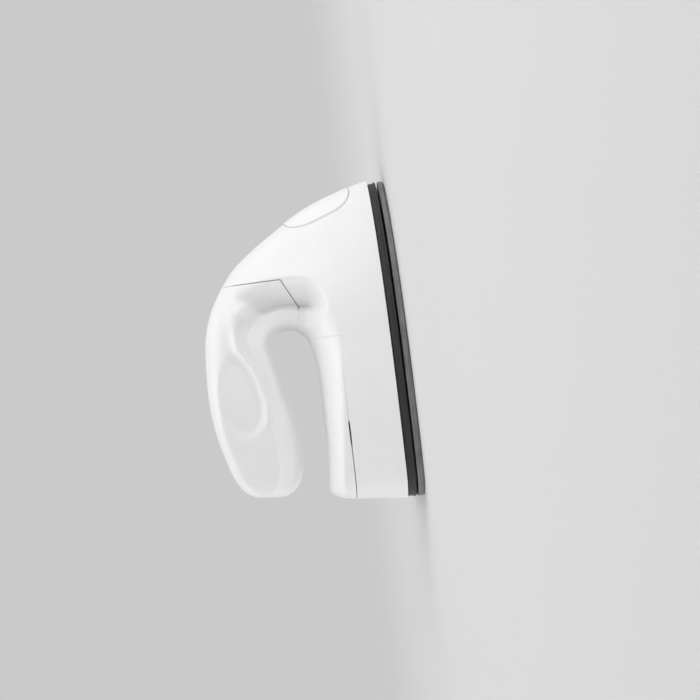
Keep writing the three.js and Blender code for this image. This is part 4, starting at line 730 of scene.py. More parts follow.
    def thinnest(self, section, moved, inset):
        """The least half-thickness within an inset of a place, so that a wall keeps its width."""
        if inset <= 0:
            from_slot = (moved - inset) * section.length / (section.length - 2 * inset)
            flat = section.slot + section.along * from_slot
            return self.half_thickness(section, flat.x, flat.y, from_slot)
        heights = []
        for ahead, beside in ((0, 0), (inset, 0), (-inset, 0), (0, inset), (0, -inset)):
            from_slot = held(moved + ahead, 0, section.length)
            flat = section.slot + section.along * from_slot + section.across * beside
            heights.append(self.half_thickness(section, flat.x, flat.y, from_slot))
        return min(heights)

    def skin(self, inset, fineness, first=0, last=LAST_ROW):
        """The closed mesh of the form between two rows."""
        rings = []
        for row in range(first, last):
            steps = fineness["heel_steps"] if row >= HEEL_ROW else fineness["steps"]
            rings.extend(self.ring(row + i / steps, inset, fineness) for i in range(steps))
        rings.append(self.ring(last, inset, fineness))
        return skinned(rings)


def end_faces(count):
    """Faces that close a ring that is symmetric about its first and middle points."""
    half = count // 2
    faces = [(0, 1, count - 1)]
    faces.extend((j - 1, j, count - j, count - j + 1) for j in range(2, half))
    faces.append((half - 1, half, half + 1))
    return faces


def skinned(rings):
    """A closed skin over rings with the same number of points."""
    count = len(rings[0])
    faces = tube_faces(len(rings), count)
    last = (len(rings) - 1) * count
    faces.extend(end_faces(count))
    faces.extend(tuple(last + j for j in reversed(face)) for face in end_faces(count))
    return outward(new_mesh("skin", [point for ring in rings for point in ring], faces))


def seam(form, rows, margin):
    """A seam's path in the side view, moved to its left by a margin that widens as the gap does."""
    path = form.placed([row[:2] for row in rows])
    return shifted(path, [margin * row[2] for row in rows])


def handle_side(form, margin):
    """Everything on the handle's side of the neck seam, less a margin."""
    return side_prism([*seam(form, NECK_SEAM_SHARES, -margin), (-FAR, FAR)])


def deck_side(form, margin):
    """Everything on the deck's side of the deck seam, less a margin."""
    return side_prism(seam(form, DECK_SEAM_SHARES, margin))


def ahead_of_heel(form, margin, level):
    """The space above a level and ahead of the heel plane, less a margin at the heel."""
    return side_prism([
        (form.heel_at(level) + margin, level),
        (FAR, level),
        (FAR, FAR),
        (form.heel_at(FAR) + margin, FAR),
    ])


def moulding(form, keep):
    """The part of the outside that the steps keep, hollowed to the wall."""
    wall = form.sizes.wall
    cavity = carved(form.skin(wall, PLAIN, CAVITY_FIRST_ROW), overlaps(ahead_of_heel(form, wall, 0)))
    whole = overlaps(ahead_of_heel(form, 0, form.body_bottom))
    return carved(form.skin(0, FINE), [*whole, *keep, *cuts(cavity)])


def ribs(form, solids, keep):
    """Ribs and posts that end half-way through the walls that carry them."""
    half_wall = form.sizes.wall / 2
    room = carved(
        form.skin(half_wall, PLAIN),
        overlaps(ahead_of_heel(form, half_wall, form.body_bottom + form.sizes.wall)),
    )
    return carved(carved(solids[0], joins(*solids[1:])), [*overlaps(room), *keep])


# The way each screw's shank runs
SCREW_DIRECTIONS = {
    "handle_screw_rear": (0, -1, 0),
    "handle_screw_front": (0, -1, 0),
    "neck_screw_left": (0, 0, 1),
    "neck_screw_right": (0, 0, 1),
    "deck_screw": (1, 0, 0),
    "sole_screw_front": (0, 0, -1),
    "sole_screw_left": (0, 0, -1),
    "sole_screw_right": (0, 0, -1),
    "terminal_block_screw": (0, 0, -1),
    "thermostat_screw": (0, 0, -1),
    "fuse_clip_screw": (0, 0, -1),
    "terminal_screw_left": (0, 0, -1),
    "terminal_screw_right": (0, 0, -1),
}
HANDLE_SCREWS = ("handle_screw_rear", "handle_screw_front")
NECK_SCREWS = ("neck_screw_left", "neck_screw_right")
REAR_SCREWS = ("sole_screw_left", "sole_screw_right")


class Screw:
    """A screw of the frame: its sizes, its seat and the way its shank runs."""

    def __init__(self, name, sizes):
        large = name.startswith("sole_")
        self.shank = sizes.large_screw if large else sizes.small_screw
        self.head = sizes.large_head if large else sizes.small_head
        self.pitch = sizes.large_pitch if large else sizes.small_pitch
        self.direction = Vector(SCREW_DIRECTIONS[name])
        low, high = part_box(name)
        middle = (low + high) / 2
        span = high - low
        reach = abs(self.direction.dot(span)) / 2
        self.head_radius = max(part for part, run in zip(span, self.direction) if run == 0) / 2
        self.top = middle - self.direction * reach
        self.seat = self.top + self.direction * self.head
        self.end = middle + self.direction * reach

    def shank_hole(self):
        """The hole that the shank passes through."""
        return bar(self.top, self.end + self.direction * FIT_GAP, self.shank / 2 + FIT_GAP, HOLE_SIDES)

    def head_hole(self):
        """The wider hole that lets the head down to its seat."""
        start = self.seat + self.direction * FIT_GAP
        return bar(start, start - self.direction * FAR, self.head_radius + FIT_GAP)


def finished(name, mesh, slot, node, context):
    """A piece in the material of its slot that replaces a CAD node and rides on the iron."""
    mesh.materials.clear()
    mesh.materials.append(finish_of(slot, context))
    mesh.shade_smooth()
    mesh.set_sharp_from_angle(angle=SHARP_ANGLE)
    made = new_object(name, mesh)
    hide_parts(node)
    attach(made, BODY)


def half_space(side, gap):
    """Everything on one side of the middle plane, less a gap."""
    low, high = sorted((side * gap / 2, side * FAR))
    return block((-FAR, low, -FAR), (FAR, high, FAR))


class Value:
    """A shader socket on which plain arithmetic adds Math nodes."""

    def __init__(self, nodes, socket):
        self.nodes = nodes
        self.socket = socket

    def maths(self, operation, *others):
        """One Math node."""
        return self.nodes.node("ShaderNodeMath", {"operation": operation}, [self, *others])

    def __add__(self, other):
        return self.maths("ADD", other)

    def __mul__(self, other):
        return self.maths("MULTIPLY", other)

    def __sub__(self, other):
        return self.maths("SUBTRACT", other)

    def __rsub__(self, other):
        return self.nodes.node("ShaderNodeMath", {"operation": "SUBTRACT"}, [other, self])

    def __truediv__(self, other):
        return self.maths("DIVIDE", other)

    __radd__ = __add__
    __rmul__ = __mul__


class Nodes:
    """A node tree under construction."""

    def __init__(self, tree):
        self.tree = tree

    def node(self, kind, settings, inputs, output=0):
        """Adds a node, applies its settings, fills its sockets and returns one output."""
        made = self.tree.nodes.new(kind)
        for key, value in settings.items():
            if key == "stops":
                self.set_stops(made, value)
            else:
                setattr(made, key, value)
        pairs = inputs.items() if isinstance(inputs, dict) else enumerate(inputs)
        for key, value in pairs:
            self.feed(made.inputs[key], value)
        return Value(self, made.outputs[output])

    def feed(self, socket, value):
        """Links or sets one socket."""
        if isinstance(value, Value):
            self.tree.links.new(value.socket, socket)
        else:
            socket.default_value = value

    def set_stops(self, ramp, stops):
        """Gives a Color Ramp its stops, as (position, colour)."""
        elements = ramp.color_ramp.elements
        while len(elements) < len(stops):
            elements.new(0.5)
        for element, (position, value) in zip(elements, stops):
            element.position = position
            element.color = (*value, 1)


class Shape(Nodes):
    """A geometry node tree with named sizes that ends in one material."""

    def __init__(self, name, sizes):
        super().__init__(bpy.data.node_groups.new(name, "GeometryNodeTree"))
        sockets = self.tree.interface
        sockets.new_socket("Geometry", in_out="OUTPUT", socket_type="NodeSocketGeometry")
        sockets.new_socket("Geometry", in_out="INPUT", socket_type="NodeSocketGeometry")
        sockets.new_socket("Material", in_out="INPUT", socket_type="NodeSocketMaterial")
        for size in sizes:
            sockets.new_socket(size, in_out="INPUT", socket_type="NodeSocketFloat").subtype = "DISTANCE"
        self.given = self.tree.nodes.new("NodeGroupInput")

    def size(self, name):
        """One of the tree's inputs."""
        return Value(self, self.given.outputs[name])

    def vector(self, x=0, y=0, z=0):
        """A vector of three values."""
        return self.node("ShaderNodeCombineXYZ", {}, {"X": x, "Y": y, "Z": z})

    def moved(self, geometry, x=0, y=0, z=0):
        """The geometry moved by a distance along each axis."""
        inputs = {"Geometry": geometry, "Translation": self.vector(x, y, z)}
        return self.node("GeometryNodeTransform", {}, inputs)

    def combined(self, operation, first, *others):
        """A join or a cut of closed meshes."""
        settings = {"operation": operation, "solver": "MANIFOLD"}
        inputs = {"Mesh 1" if operation == "DIFFERENCE" else "Mesh 2": first}
        result = self.node("GeometryNodeMeshBoolean", settings, inputs)
        for other in others:
            self.feed(result.socket.node.inputs["Mesh 2"], other)
        return result

    def ended(self, geometry):
        """Ends the tree with its instances realized and its material set."""
        real = self.node("GeometryNodeRealizeInstances", {}, {"Geometry": geometry})
        inputs = {"Geometry": real, "Material": self.size("Material")}
        result = self.node("GeometryNodeSetMaterial", {}, inputs)
        output = self.tree.nodes.new("NodeGroupOutput")
        self.feed(output.inputs["Geometry"], result)
        return self.tree


def shaped(tree, values):
    """The plain mesh that a tree makes from its sizes."""
    made = new_object("shaping", new_mesh("shaping", [(0, 0, 0)], []))
    modifier = made.modifiers.new("shape", "NODES")
    modifier.node_group = tree
    for socket in tree.interface.items_tree:
        if socket.name in values:
            modifier[socket.identifier] = values[socket.name]
    mesh = evaluated_mesh(made)
    bpy.data.objects.remove(made)
    return mesh


class Finish(Nodes):
    """A node material under construction."""

    def __init__(self, name):
        self.material = bpy.data.materials.new(name)
        self.material.use_nodes = True
        super().__init__(self.material.node_tree)
        self.shader = self.tree.nodes["Principled BSDF"]
        self.place = self.node("ShaderNodeTexCoord", {}, {}, "Object")

    def surface(self, **values):
        """Sets the shader's sockets by their names in snake case and returns the material."""
        for key, value in values.items():
            self.feed(self.shader.inputs[key.replace("_", " ").title()], value)
        return self.material

    def noise(self, size, detail=2.0, stretch=(1, 1, 1), roughness=0.5):
        """Noise with features of about a size in metres, and a stretch along each axis."""
        scale = tuple(1 / (size * part) for part in stretch)
        place = self.node("ShaderNodeMapping", {}, {"Vector": self.place, "Scale": scale}, "Vector")
        inputs = {"Vector": place, "Scale": 1.0, "Detail": detail, "Roughness": roughness}
        return self.node("ShaderNodeTexNoise", {}, inputs, "Fac")

    def ramp(self, value, *stops):
        """A colour ramp over a value."""
        return self.node("ShaderNodeValToRGB", {"stops": stops}, {"Fac": value}, "Color")

    def spread(self, value, low, high, to_low, to_high):
        """Maps a value's range to another, clamped."""
        inputs = {"Value": value, "From Min": low, "From Max": high, "To Min": to_low, "To Max": to_high}
        return self.node("ShaderNodeMapRange", {"clamp": True}, inputs, "Result")

    def mixed(self, factor, first, second):
        """A mix of two colours, by the numbers of the Mix node's colour sockets."""
        inputs = {0: factor, 6: first, 7: second}
        return self.node("ShaderNodeMix", {"data_type": "RGBA"}, inputs, 2)

    def toned(self, value, low, high, rgb, factor):
        """A colour that turns darker or lighter by a factor as a value rises from low to high."""
        return self.mixed(self.spread(value, low, high, 0, 1), opaque(rgb), shade(rgb, factor))

    def bump(self, height, distance, strength=1.0):
        """A normal from a height map, with a distance in metres."""
        inputs = {"Height": height, "Distance": distance, "Strength": strength}
        return self.node("ShaderNodeBump", {}, inputs, "Normal")


def opaque(rgb):
    """A colour with full alpha."""
    return (*rgb[:3], 1.0)


def shade(rgb, factor):
    """A colour made darker or lighter."""
    return opaque([held(part * factor, 0, 1) for part in rgb])


# Sizes of the materials' patterns, and the depths of their bumps
WHITE_SWELL = 14 * MM
WHITE_CLOUD = 22 * MM
WHITE_DEPTH = 0.05 * MM
SKIRT_STREAK = 0.5 * MM
SKIRT_GRAIN = 0.3 * MM
SKIRT_DEPTH = 0.03 * MM
CAST_STREAK = 0.35 * MM
CAST_MOTTLE = 6 * MM
CAST_GRAIN = 0.25 * MM
CAST_DEPTH = 0.02 * MM
DRAWN_STREAK = 0.3 * MM
DRAWN_STRETCH = (20, 20, 1)
DRAWN_DEPTH = 0.01 * MM
STAIN = 5 * MM
HEAT_CLOUD = 9 * MM
DULL_CLOUD = 3 * MM
CERAMIC_GRAIN = 0.15 * MM
RUBBER_GRAIN = 0.2 * MM
STEATITE = (0.78, 0.73, 0.64)
RUBBER = (0.018, 0.018, 0.018)
BRAID_ANGLE = math.radians(38)
BRAID_SCALE = 550.0
BRAID_DEPTH = 0.12 * MM


def white_plastic(settings):
    """Glossy white plastic with a faint moulded grain and slow swells."""
    finish = Finish("Moulded white plastic")
    grain = finish.noise(settings.grain, 3.0)
    swell = finish.noise(WHITE_SWELL, 1.0)
    cloud = finish.noise(WHITE_CLOUD, 3.0)
    glossy, duller = settings.plastic_roughness - 0.05, settings.plastic_roughness + 0.07
    return finish.surface(
        base_color=finish.toned(cloud, 0.35, 0.65, settings.plastic, 0.97),
        roughness=finish.spread(grain + cloud * 0.5, 0.4, 1.1, glossy, duller),
        normal=finish.bump(grain * 0.04 + swell, WHITE_DEPTH, 0.6),
    )


def black_plastic(settings):
    """Heat-resistant black plastic, satin with flow streaks along it."""
    finish = Finish("Heat-resistant black plastic")
    streak = finish.noise(SKIRT_STREAK, 2.0, (40, 6, 1))
    grain = finish.noise(SKIRT_GRAIN, 3.0)
    return finish.surface(
        base_color=finish.toned(streak, 0.4, 0.7, settings.skirt, 2.2),
        roughness=finish.spread(streak + grain * 0.4, 0.4, 1.0, 0.38, 0.6),
        normal=finish.bump(grain, SKIRT_DEPTH),
    )


def coated_metal(settings):
    """Cast aluminium under a thin dark coat, worn lighter along streaks."""
    finish = Finish("Coated cast aluminium")
    streak = finish.noise(CAST_STREAK, 3.0, (60, 30, 1))
    mottle = finish.noise(CAST_MOTTLE, 4.0)
    grain = finish.noise(CAST_GRAIN, 4.0)
    return finish.surface(
        base_color=finish.toned(streak * 0.7 + mottle * 0.3, 0.38, 0.68, settings.coating, 2.1),
        metallic=0.75,
        roughness=finish.spread(streak + grain * 0.3, 0.35, 0.95, 0.3, 0.52),
        normal=finish.bump(grain + streak * 0.5, CAST_DEPTH),
    )


def metal(name, rgb, low, high):
    """A metal with drawn or rolled streaks."""
    finish = Finish(name)
    streak = finish.noise(DRAWN_STREAK, 3.0, DRAWN_STRETCH)
    return finish.surface(
        base_color=finish.toned(finish.noise(STAIN, 3.0), 0.35, 0.7, rgb, 0.82),
        metallic=1.0,
        roughness=finish.spread(streak, 0.3, 0.7, low, high),
        normal=finish.bump(streak, DRAWN_DEPTH),
    )


def tinted_steel(_settings):
    """A steel sheath with straw and blue heat tints."""
    finish = Finish("Heat-tinted steel sheath")
    cloud = finish.noise(HEAT_CLOUD, 3.0)
    streak = finish.noise(DRAWN_STREAK, 2.0, DRAWN_STRETCH)
    tints = ((0.3, (0.36, 0.33, 0.29)), (0.5, (0.44, 0.36, 0.24)), (0.68, (0.26, 0.27, 0.33)))
    return finish.surface(
        base_color=finish.ramp(cloud, *tints),
        metallic=1.0,
        roughness=finish.spread(streak, 0.3, 0.7, 0.32, 0.5),
        normal=finish.bump(streak, DRAWN_DEPTH),
    )


def dull(name, rgb, low, high, grain_size, depth):
    """A matt, grainy material such as ceramic or rubber."""
    finish = Finish(name)
    grain = finish.noise(grain_size, 4.0)
    return finish.surface(
        base_color=finish.toned(finish.noise(DULL_CLOUD, 3.0), 0.35, 0.68, rgb, 0.86),
        roughness=finish.spread(grain, 0.3, 0.7, low, high),
        normal=finish.bump(grain, depth),
    )


def braided_sleeve(_settings):
    """Glass-fibre sleeve with a diagonal braid."""
    finish = Finish("Braided glass-fibre sleeve")
    waves = []
    for turn in (BRAID_ANGLE, -BRAID_ANGLE):
        inputs = {"Vector": finish.place, "Rotation": (turn, turn, turn)}
        place = finish.node("ShaderNodeMapping", {}, inputs, "Vector")
        settings = {"wave_type": "BANDS", "bands_direction": "X"}
        inputs = {"Vector": place, "Scale": BRAID_SCALE, "Distortion": 0.6}
        waves.append(finish.node("ShaderNodeTexWave", settings, inputs, "Fac"))
    braid = waves[0] * waves[1]
    return finish.surface(
        base_color=finish.ramp(braid, (0.0, (0.42, 0.4, 0.36)), (0.6, (0.78, 0.75, 0.68))),
        roughness=finish.spread(braid, 0, 1, 0.9, 0.7),
        normal=finish.bump(braid, BRAID_DEPTH),
    )


# The material of each of the record's slots
SLOT_MATERIALS = {
    WHITE: white_plastic,
    "black_plastic": black_plastic,
    "sole_metal": coated_metal,
    "sheet_steel": lambda _: metal("Pressed plated steel", (0.56, 0.57, 0.58), 0.28, 0.45),
    "element_steel": tinted_steel,
    "screw_steel": lambda _: metal("Zinc-plated steel", (0.66, 0.67, 0.69), 0.22, 0.38),
    "spring_brass": lambda _: metal("Spring bronze", (0.72, 0.52, 0.26), 0.22, 0.36),
    "ceramic": lambda _: dull("Unglazed steatite", STEATITE, 0.5, 0.7, CERAMIC_GRAIN, CAST_DEPTH),
    "bush_rubber": lambda _: dull("Black moulded rubber", RUBBER, 0.6, 0.85, RUBBER_GRAIN, SKIRT_DEPTH),
    "lead_sleeve": braided_sleeve,
}
materials = {}


def finish_of(slot, context):
    """The material of a slot, made once."""
    if slot not in materials:
        materials[slot] = SLOT_MATERIALS[slot](context.scene.craft_iron_finish)
    return materials[slot]


class CRAFTIRON_OT_handle(Operator):
    """Builds the two handle halves with their thumb recesses and screw wells"""

    bl_idname = "object.craft_iron_handle"
    bl_label = "Handle halves"

    def execute(self, context):
        form = MouldedForm(context.scene.craft_iron_form)
        sizes = form.sizes
        screws = [Screw(name, sizes) for name in HANDLE_SCREWS]
        neck_screws = [Screw(name, sizes) for name in NECK_SCREWS]
        across = Vector((0, form.half_handle, 0))
        posts = []
        for screw in screws:
            middle = Vector((screw.seat.x, 0, screw.seat.z))
            posts.append(bar(middle - across, middle + across, sizes.post_radius))
        foot = neck_screws[0].seat
        half_tongue, side = sizes.tongue_length / 2, foot.y + sizes.tongue_width / 2
        tongue = block(
            (foot.x - half_tongue, -side, foot.z + sizes.wall + FIT_GAP),
            (foot.x + half_tongue, side, form.half_handle * TONGUE_TOP_SHARE),
        )
        keep = overlaps(handle_side(form, sizes.seam_gap / 2))
        filled = carved(moulding(form, keep), joins(ribs(form, [*posts, tongue], keep)))
        holes = [screw.shank_hole() for screw in (*screws, *neck_screws)]
        wells = [screw.head_hole() for screw in screws]
        for name, side in (("handle_left", 1), ("handle_right", -1)):
            steps = [*overlaps(half_space(side, FIT_GAP / 2)), *cuts(*holes, *wells)]
            finished(f"{name}_moulding", carved(filled.copy(), steps), WHITE, name, context)
        return {"FINISHED"}


class CRAFTIRON_OT_housing(Operator):
    """Builds the body housing with its nose, neck and inlet"""

    bl_idname = "object.craft_iron_housing"
    bl_label = "Body housing"

    def execute(self, context):
        form = MouldedForm(context.scene.craft_iron_form)
        sizes = form.sizes
        gap, wall = sizes.seam_gap, sizes.wall
        parted = cuts(handle_side(form, -gap / 2), deck_side(form, -gap / 2))
        seat_floor = form.skin(sizes.plate_seat, FINE, *NOSE_ROWS)
        seat = carved(oval_prism(form, sizes.plate_gap), cuts(seat_floor))
        heel_screw, nose_screw = Screw("deck_screw", sizes), Screw("sole_screw_front", sizes)
        neck_screws = [Screw(name, sizes) for name in NECK_SCREWS]
        rear_screws = [Screw(name, sizes) for name in REAR_SCREWS]
        heel_seat, nose_seat, neck_seat = heel_screw.seat, nose_screw.seat, neck_screws[0].seat
        nose_post = bar(
            (nose_seat.x, 0, nose_seat.z - wall),
            (nose_seat.x, 0, sizes.height),
            nose_screw.head_radius + FIT_GAP + sizes.boss_wall,
        )
        heel_post = bar(
            (-FAR, 0, heel_seat.z), (heel_seat.x + wall, 0, heel_seat.z), sizes.heel_boss_radius,
        )
        low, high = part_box("terminal_block")
        shelf_top = low.z - FIT_GAP
        shelf = block((low.x, -FAR, shelf_top - wall), (high.x, FAR, shelf_top))
        web_top, web_half = neck_seat.z + wall + FIT_GAP, sizes.tongue_length / 2
        web = block((neck_seat.x - web_half, -FAR, web_top - wall), (neck_seat.x + web_half, FAR, web_top))
        solids = [nose_post, heel_post, shelf, web]
        for screw in rear_screws:
            solids.extend(rear_lug(sizes, *screw.seat))
        pad, bush_room = inlet_pad(sizes)
        steps = [
            *joins(ribs(form, solids, parted), pad),
            *cuts(seat, bush_room, nose_screw.head_hole(), heel_screw.head_hole()),
        ]
        block_screw = Screw("terminal_block_screw", sizes)
        for screw in (heel_screw, *neck_screws, block_screw, nose_screw, *rear_screws):
            steps.extend(cuts(screw.shank_hole()))
        finished("body_moulding", carved(moulding(form, parted), steps), WHITE, "body_housing", context)
        return {"FINISHED"}


def rear_lug(sizes, x, y, z):
    """The lug round one of the rear screws, reaching out to its side wall."""
    low = z - FIT_GAP - sizes.wall
    top = low + sizes.wall
    radius = sizes.lug_radius
    inner, outer = sorted((y, math.copysign(FAR, y)))
    arm = block((x - radius, inner, low), (x + radius, outer, top))
    return bar((x, y, low), (x, y, top), radius), arm


def inlet_pad(sizes):
    """The pad round the cord inlet and the room that it leaves for the bush."""
    low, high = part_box("cord_bush")
    x, z = (low.x + high.x) / 2, (low.z + high.z) / 2
    margin = sizes.bush_flange_thickness + FIT_GAP
    flange = (high.x - low.x) / 2
    pad = bar((x, low.y + margin, z), (x, high.y - margin, z), flange + sizes.pad_margin, RING_SIDES)
    neck = flange - sizes.bush_flange + FIT_GAP
    return pad, bar((x, low.y + margin - FIT_GAP, z), (x, FAR, z), neck, BORE_SIDES)


class CRAFTIRON_OT_bush(Operator):
    """Builds the rubber bush that the cord passes through"""

    bl_idname = "object.craft_iron_bush"
    bl_label = "Cord bush"

    def execute(self, context):
        sizes = context.scene.craft_iron_form
        low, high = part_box("cord_bush")
        middle = (low + high) / 2
        flange = (high.x - low.x) / 2
        neck = flange - sizes.bush_flange
        bore = sizes.inlet_bore / 2
        depth = high.y - low.y
        thick = sizes.bush_flange_thickness
        lip = thick * BUSH_LIP_SHARE
        profile = [(bore, lip), (bore + lip, 0), (flange - 2 * lip, 0)]
        profile.extend([(flange - lip / 2, lip / 2), (flange, 2 * lip), (flange, thick), (neck, thick)])
        profile.extend([(neck, depth - thick), (flange, depth - thick), (flange, depth - lip)])
        profile.extend([(flange - lip, depth), (bore + lip, depth), (bore, depth - lip)])
        mesh = turned(profile, (middle.x, high.y, middle.z), (0, -1, 0), RING_SIDES, hollow=True)
        finished("inlet_bush", mesh, "bush_rubber", "cord_bush", context)
        return {"FINISHED"}


class CRAFTIRON_OT_deck(Operator):
    """Builds the cover over the rear deck"""

    bl_idname = "object.craft_iron_deck"
    bl_label = "Deck cover"

    def execute(self, context):
        form = MouldedForm(context.scene.craft_iron_form)
        sizes = form.sizes
        gap = sizes.seam_gap
        screw = Screw("deck_screw", sizes)
        back = screw.seat.x + sizes.wall + FIT_GAP
        half_leg = sizes.deck_leg_width / 2
        foot = screw.seat.z - sizes.deck_leg_margin
        leg = block((back, -half_leg, foot), (back + sizes.deck_leg, half_leg, FAR))
        carried = ribs(form, [leg], cuts(handle_side(form, -gap / 2)))
        shell = moulding(form, overlaps(deck_side(form, gap / 2)))
        mesh = carved(shell, [*joins(carried), *cuts(screw.shank_hole())])
        finished("deck_moulding", mesh, WHITE, "deck_cover", context)
        return {"FINISHED"}


def plate_axes(form):
    """The nose plate's centre, its run up the nose and its outward normal."""
    z = PLATE_HEIGHT_SHARE * form.sizes.height
    centre = Vector((form.prow_at(z), 0, z))
    step = form.sizes.wall
    run = Vector((form.prow_at(z + step) - form.prow_at(z - step), 0, 2 * step)).normalized()
    return centre, run, Vector((run.z, 0, -run.x))


def oval_prism(form, margin):
    """A prism through the nose with the nose plate's oval, let out by a margin."""
    centre, run, normal = plate_axes(form)
    depth = form.sizes.plate_width
    outline = []
    for i in range(RING_SIDES):
        angle = math.tau * i / RING_SIDES
        spread = sum(abs(part) ** PLATE_POWER_SHARE for part in (math.cos(angle), math.sin(angle)))
        fullness = (1 / spread) ** (1 / PLATE_POWER_SHARE)
        along = (form.sizes.plate_length / 2 + margin) * fullness * math.cos(angle)
        across = (form.sizes.plate_width / 2 + margin) * fullness * math.sin(angle)
        outline.append((along, across))

    def lift(point, height):
        return centre + run * point[0] + Vector((0, 1, 0)) * point[1] + normal * height

    return prism(outline, -depth, depth, lift)


class CRAFTIRON_OT_nose_plate(Operator):
    """Builds the oval plate let into the nose"""

    bl_idname = "object.craft_iron_nose_plate"
    bl_label = "Nose plate"

    def execute(self, context):
        form = MouldedForm(context.scene.craft_iron_form)
        sizes = form.sizes
        front = form.skin(-sizes.plate_proud, FINE, *NOSE_ROWS)
        back = form.skin(sizes.plate_seat - FIT_GAP, FINE, *NOSE_ROWS)
        mesh = carved(oval_prism(form, 0), [*overlaps(front), *cuts(back)])
        finished("nose_plate_disc", mesh, WHITE, "nose_plate", context)
        return {"FINISHED"}


def plan_ring(form, z, inset):
    """The ring of a level slice: tip first, down one side, the heel and back up the other."""
    tip = form.half_length - inset * NOSE_INSET_SHARE
    heel = inset - form.half_length
    corner = form.sizes.heel_corner
    radius = max(corner - inset, corner * LEAST_CORNER_SHARE)
    reach = tip - heel - radius
    xs = [tip - reach * (i / PLAN_STEPS) ** PLAN_SPACING_SHARE for i in range(1, PLAN_STEPS + 1)]
    for i in range(1, CORNER_STEPS + 1):
        xs.append(heel + radius * (1 - math.sin(math.pi / 2 * i / CORNER_STEPS)))
    side = []
    for x in xs:
        half = form.plan_half(tip - x, form.half_width - inset, SOLE_SHARPNESS_SHARE)
        side.append((x, form.with_heel_corner(half, x - heel, radius), z))
    mirrored = [(x, -y, z) for x, y, z in reversed(side)]
    return [(tip, 0, z), *side, (heel, 0, z), *mirrored]


def plan_stack(form, levels):
    """A solid over level slices given as (z, inset)."""
    return skinned([plan_ring(form, z, inset) for z, inset in levels])


class CRAFTIRON_OT_sole(Operator):
    """Builds the soleplate and the skirt above it"""

    bl_idname = "object.craft_iron_sole"
    bl_label = "Soleplate and skirt"

    def execute(self, context):
        form = MouldedForm(context.scene.craft_iron_form)
        sizes = form.sizes
        edge, fillet, chamfer = sizes.sole_edge, sizes.sole_fillet, sizes.sole_chamfer
        levels = []
        for i in range(FILLET_STEPS + 1):
            angle = math.pi / 2 * i / FILLET_STEPS
            levels.append((fillet * (1 - math.cos(angle)), fillet * (1 - math.sin(angle))))
        levels.extend([(edge - chamfer, 0), (edge, chamfer), (edge, sizes.plateau_inset)])
        levels.append((sizes.plateau_height, sizes.plateau_inset + sizes.plateau_draft))
        finished("sole_casting", plan_stack(form, levels), "sole_metal", "soleplate", context)
        low, top, inset = sizes.skirt_bottom, sizes.skirt_top, FIT_GAP
        lip, band = sizes.skirt_lip, sizes.skirt_band
        levels = [
            (low, inset),
            (low + lip, inset - lip),
            (low + band, inset - lip),
            (low + band + lip, inset),
            (top - lip, inset),
            (top, inset + lip),
        ]
        room = [(level, inset + sizes.skirt_wall) for level in (low - OVERRUN, top + OVERRUN)]
        mesh = carved(plan_stack(form, levels), cuts(plan_stack(form, room)))
        finished("skirt_ring", mesh, "black_plastic", "skirt", context)
        return {"FINISHED"}


# A screw head's tiers from its seat up: start and depth of its height, radii below and above of its
# diameter. Then the shank's radii and the thread's, of its diameter, and the cross recess, of the head's.
HEAD_TIER_SHARES = (
    (0, 0.15, 0.47, 0.5),
    (0.15, 0.45, 0.5, 0.485),
    (0.6, 0.25, 0.485, 0.42),
    (0.85, 0.15, 0.42, 0.3),
)
SHANK_SHARES = (0.36, 0.42)
THREAD_SHARES = (0.4, 0.42)
THREAD_RIDGE_SHARE = 0.09
THREAD_START_SHARE = 0.4
CROSS_SHARES = ((0.5, 0.13), (0.13, 0.5))
SHANK_SIDES = 32
THREAD_SIDES = 3
THREAD_STEPS = 20


def screw_tree():
    """A pan-head screw with a cross recess and a thread. Its seat is at the origin, its shank on -Z."""
    shape = Shape(
        "Cross-head screw", ("Head Diameter", "Head Height", "Shank Diameter", "Length", "Pitch"),
    )
    head, height = shape.size("Head Diameter"), shape.size("Head Height")
    shank, length, pitch = shape.size("Shank Diameter"), shape.size("Length"), shape.size("Pitch")

    def cone(sides, below, above, depth, start):
        values = {"Vertices": sides, "Radius Bottom": below, "Radius Top": above, "Depth": depth}
        return shape.moved(shape.node("GeometryNodeMeshCone", {}, values), z=start)

    tiers = []
    for start, depth, below, above in HEAD_TIER_SHARES:
        tiers.append(cone(POST_SIDES, head * below, head * above, height * depth, height * start))
    rod = cone(SHANK_SIDES, shank * SHANK_SHARES[0], shank * SHANK_SHARES[1], length, length * -1)
    rise = length - pitch
    helix = shape.node("GeometryNodeCurveSpiral", {}, {
        "Resolution": THREAD_STEPS, "Rotations": rise / pitch, "Height": rise,
        "Start Radius": shank * THREAD_SHARES[0], "End Radius": shank * THREAD_SHARES[1],
    })
    values = {"Resolution": THREAD_SIDES, "Radius": shank * THREAD_RIDGE_SHARE}
    ridge = shape.node("GeometryNodeCurvePrimitiveCircle", {}, values, "Curve")
    values = {"Curve": helix, "Profile Curve": ridge, "Fill Caps": True}
    thread = shape.node("GeometryNodeCurveToMesh", {}, values)
    thread = shape.moved(thread, z=pitch * THREAD_START_SHARE - length)
    body = shape.combined("UNION", *tiers, rod, thread)
    wings = []
    for across, along in CROSS_SHARES:
        size = shape.vector(head * across, head * along, height)
        wing = shape.node("GeometryNodeMeshCube", {}, {"Size": size}, "Mesh")
        wings.append(shape.moved(wing, z=height))
    return shape.ended(shape.combined("DIFFERENCE", body, *wings))


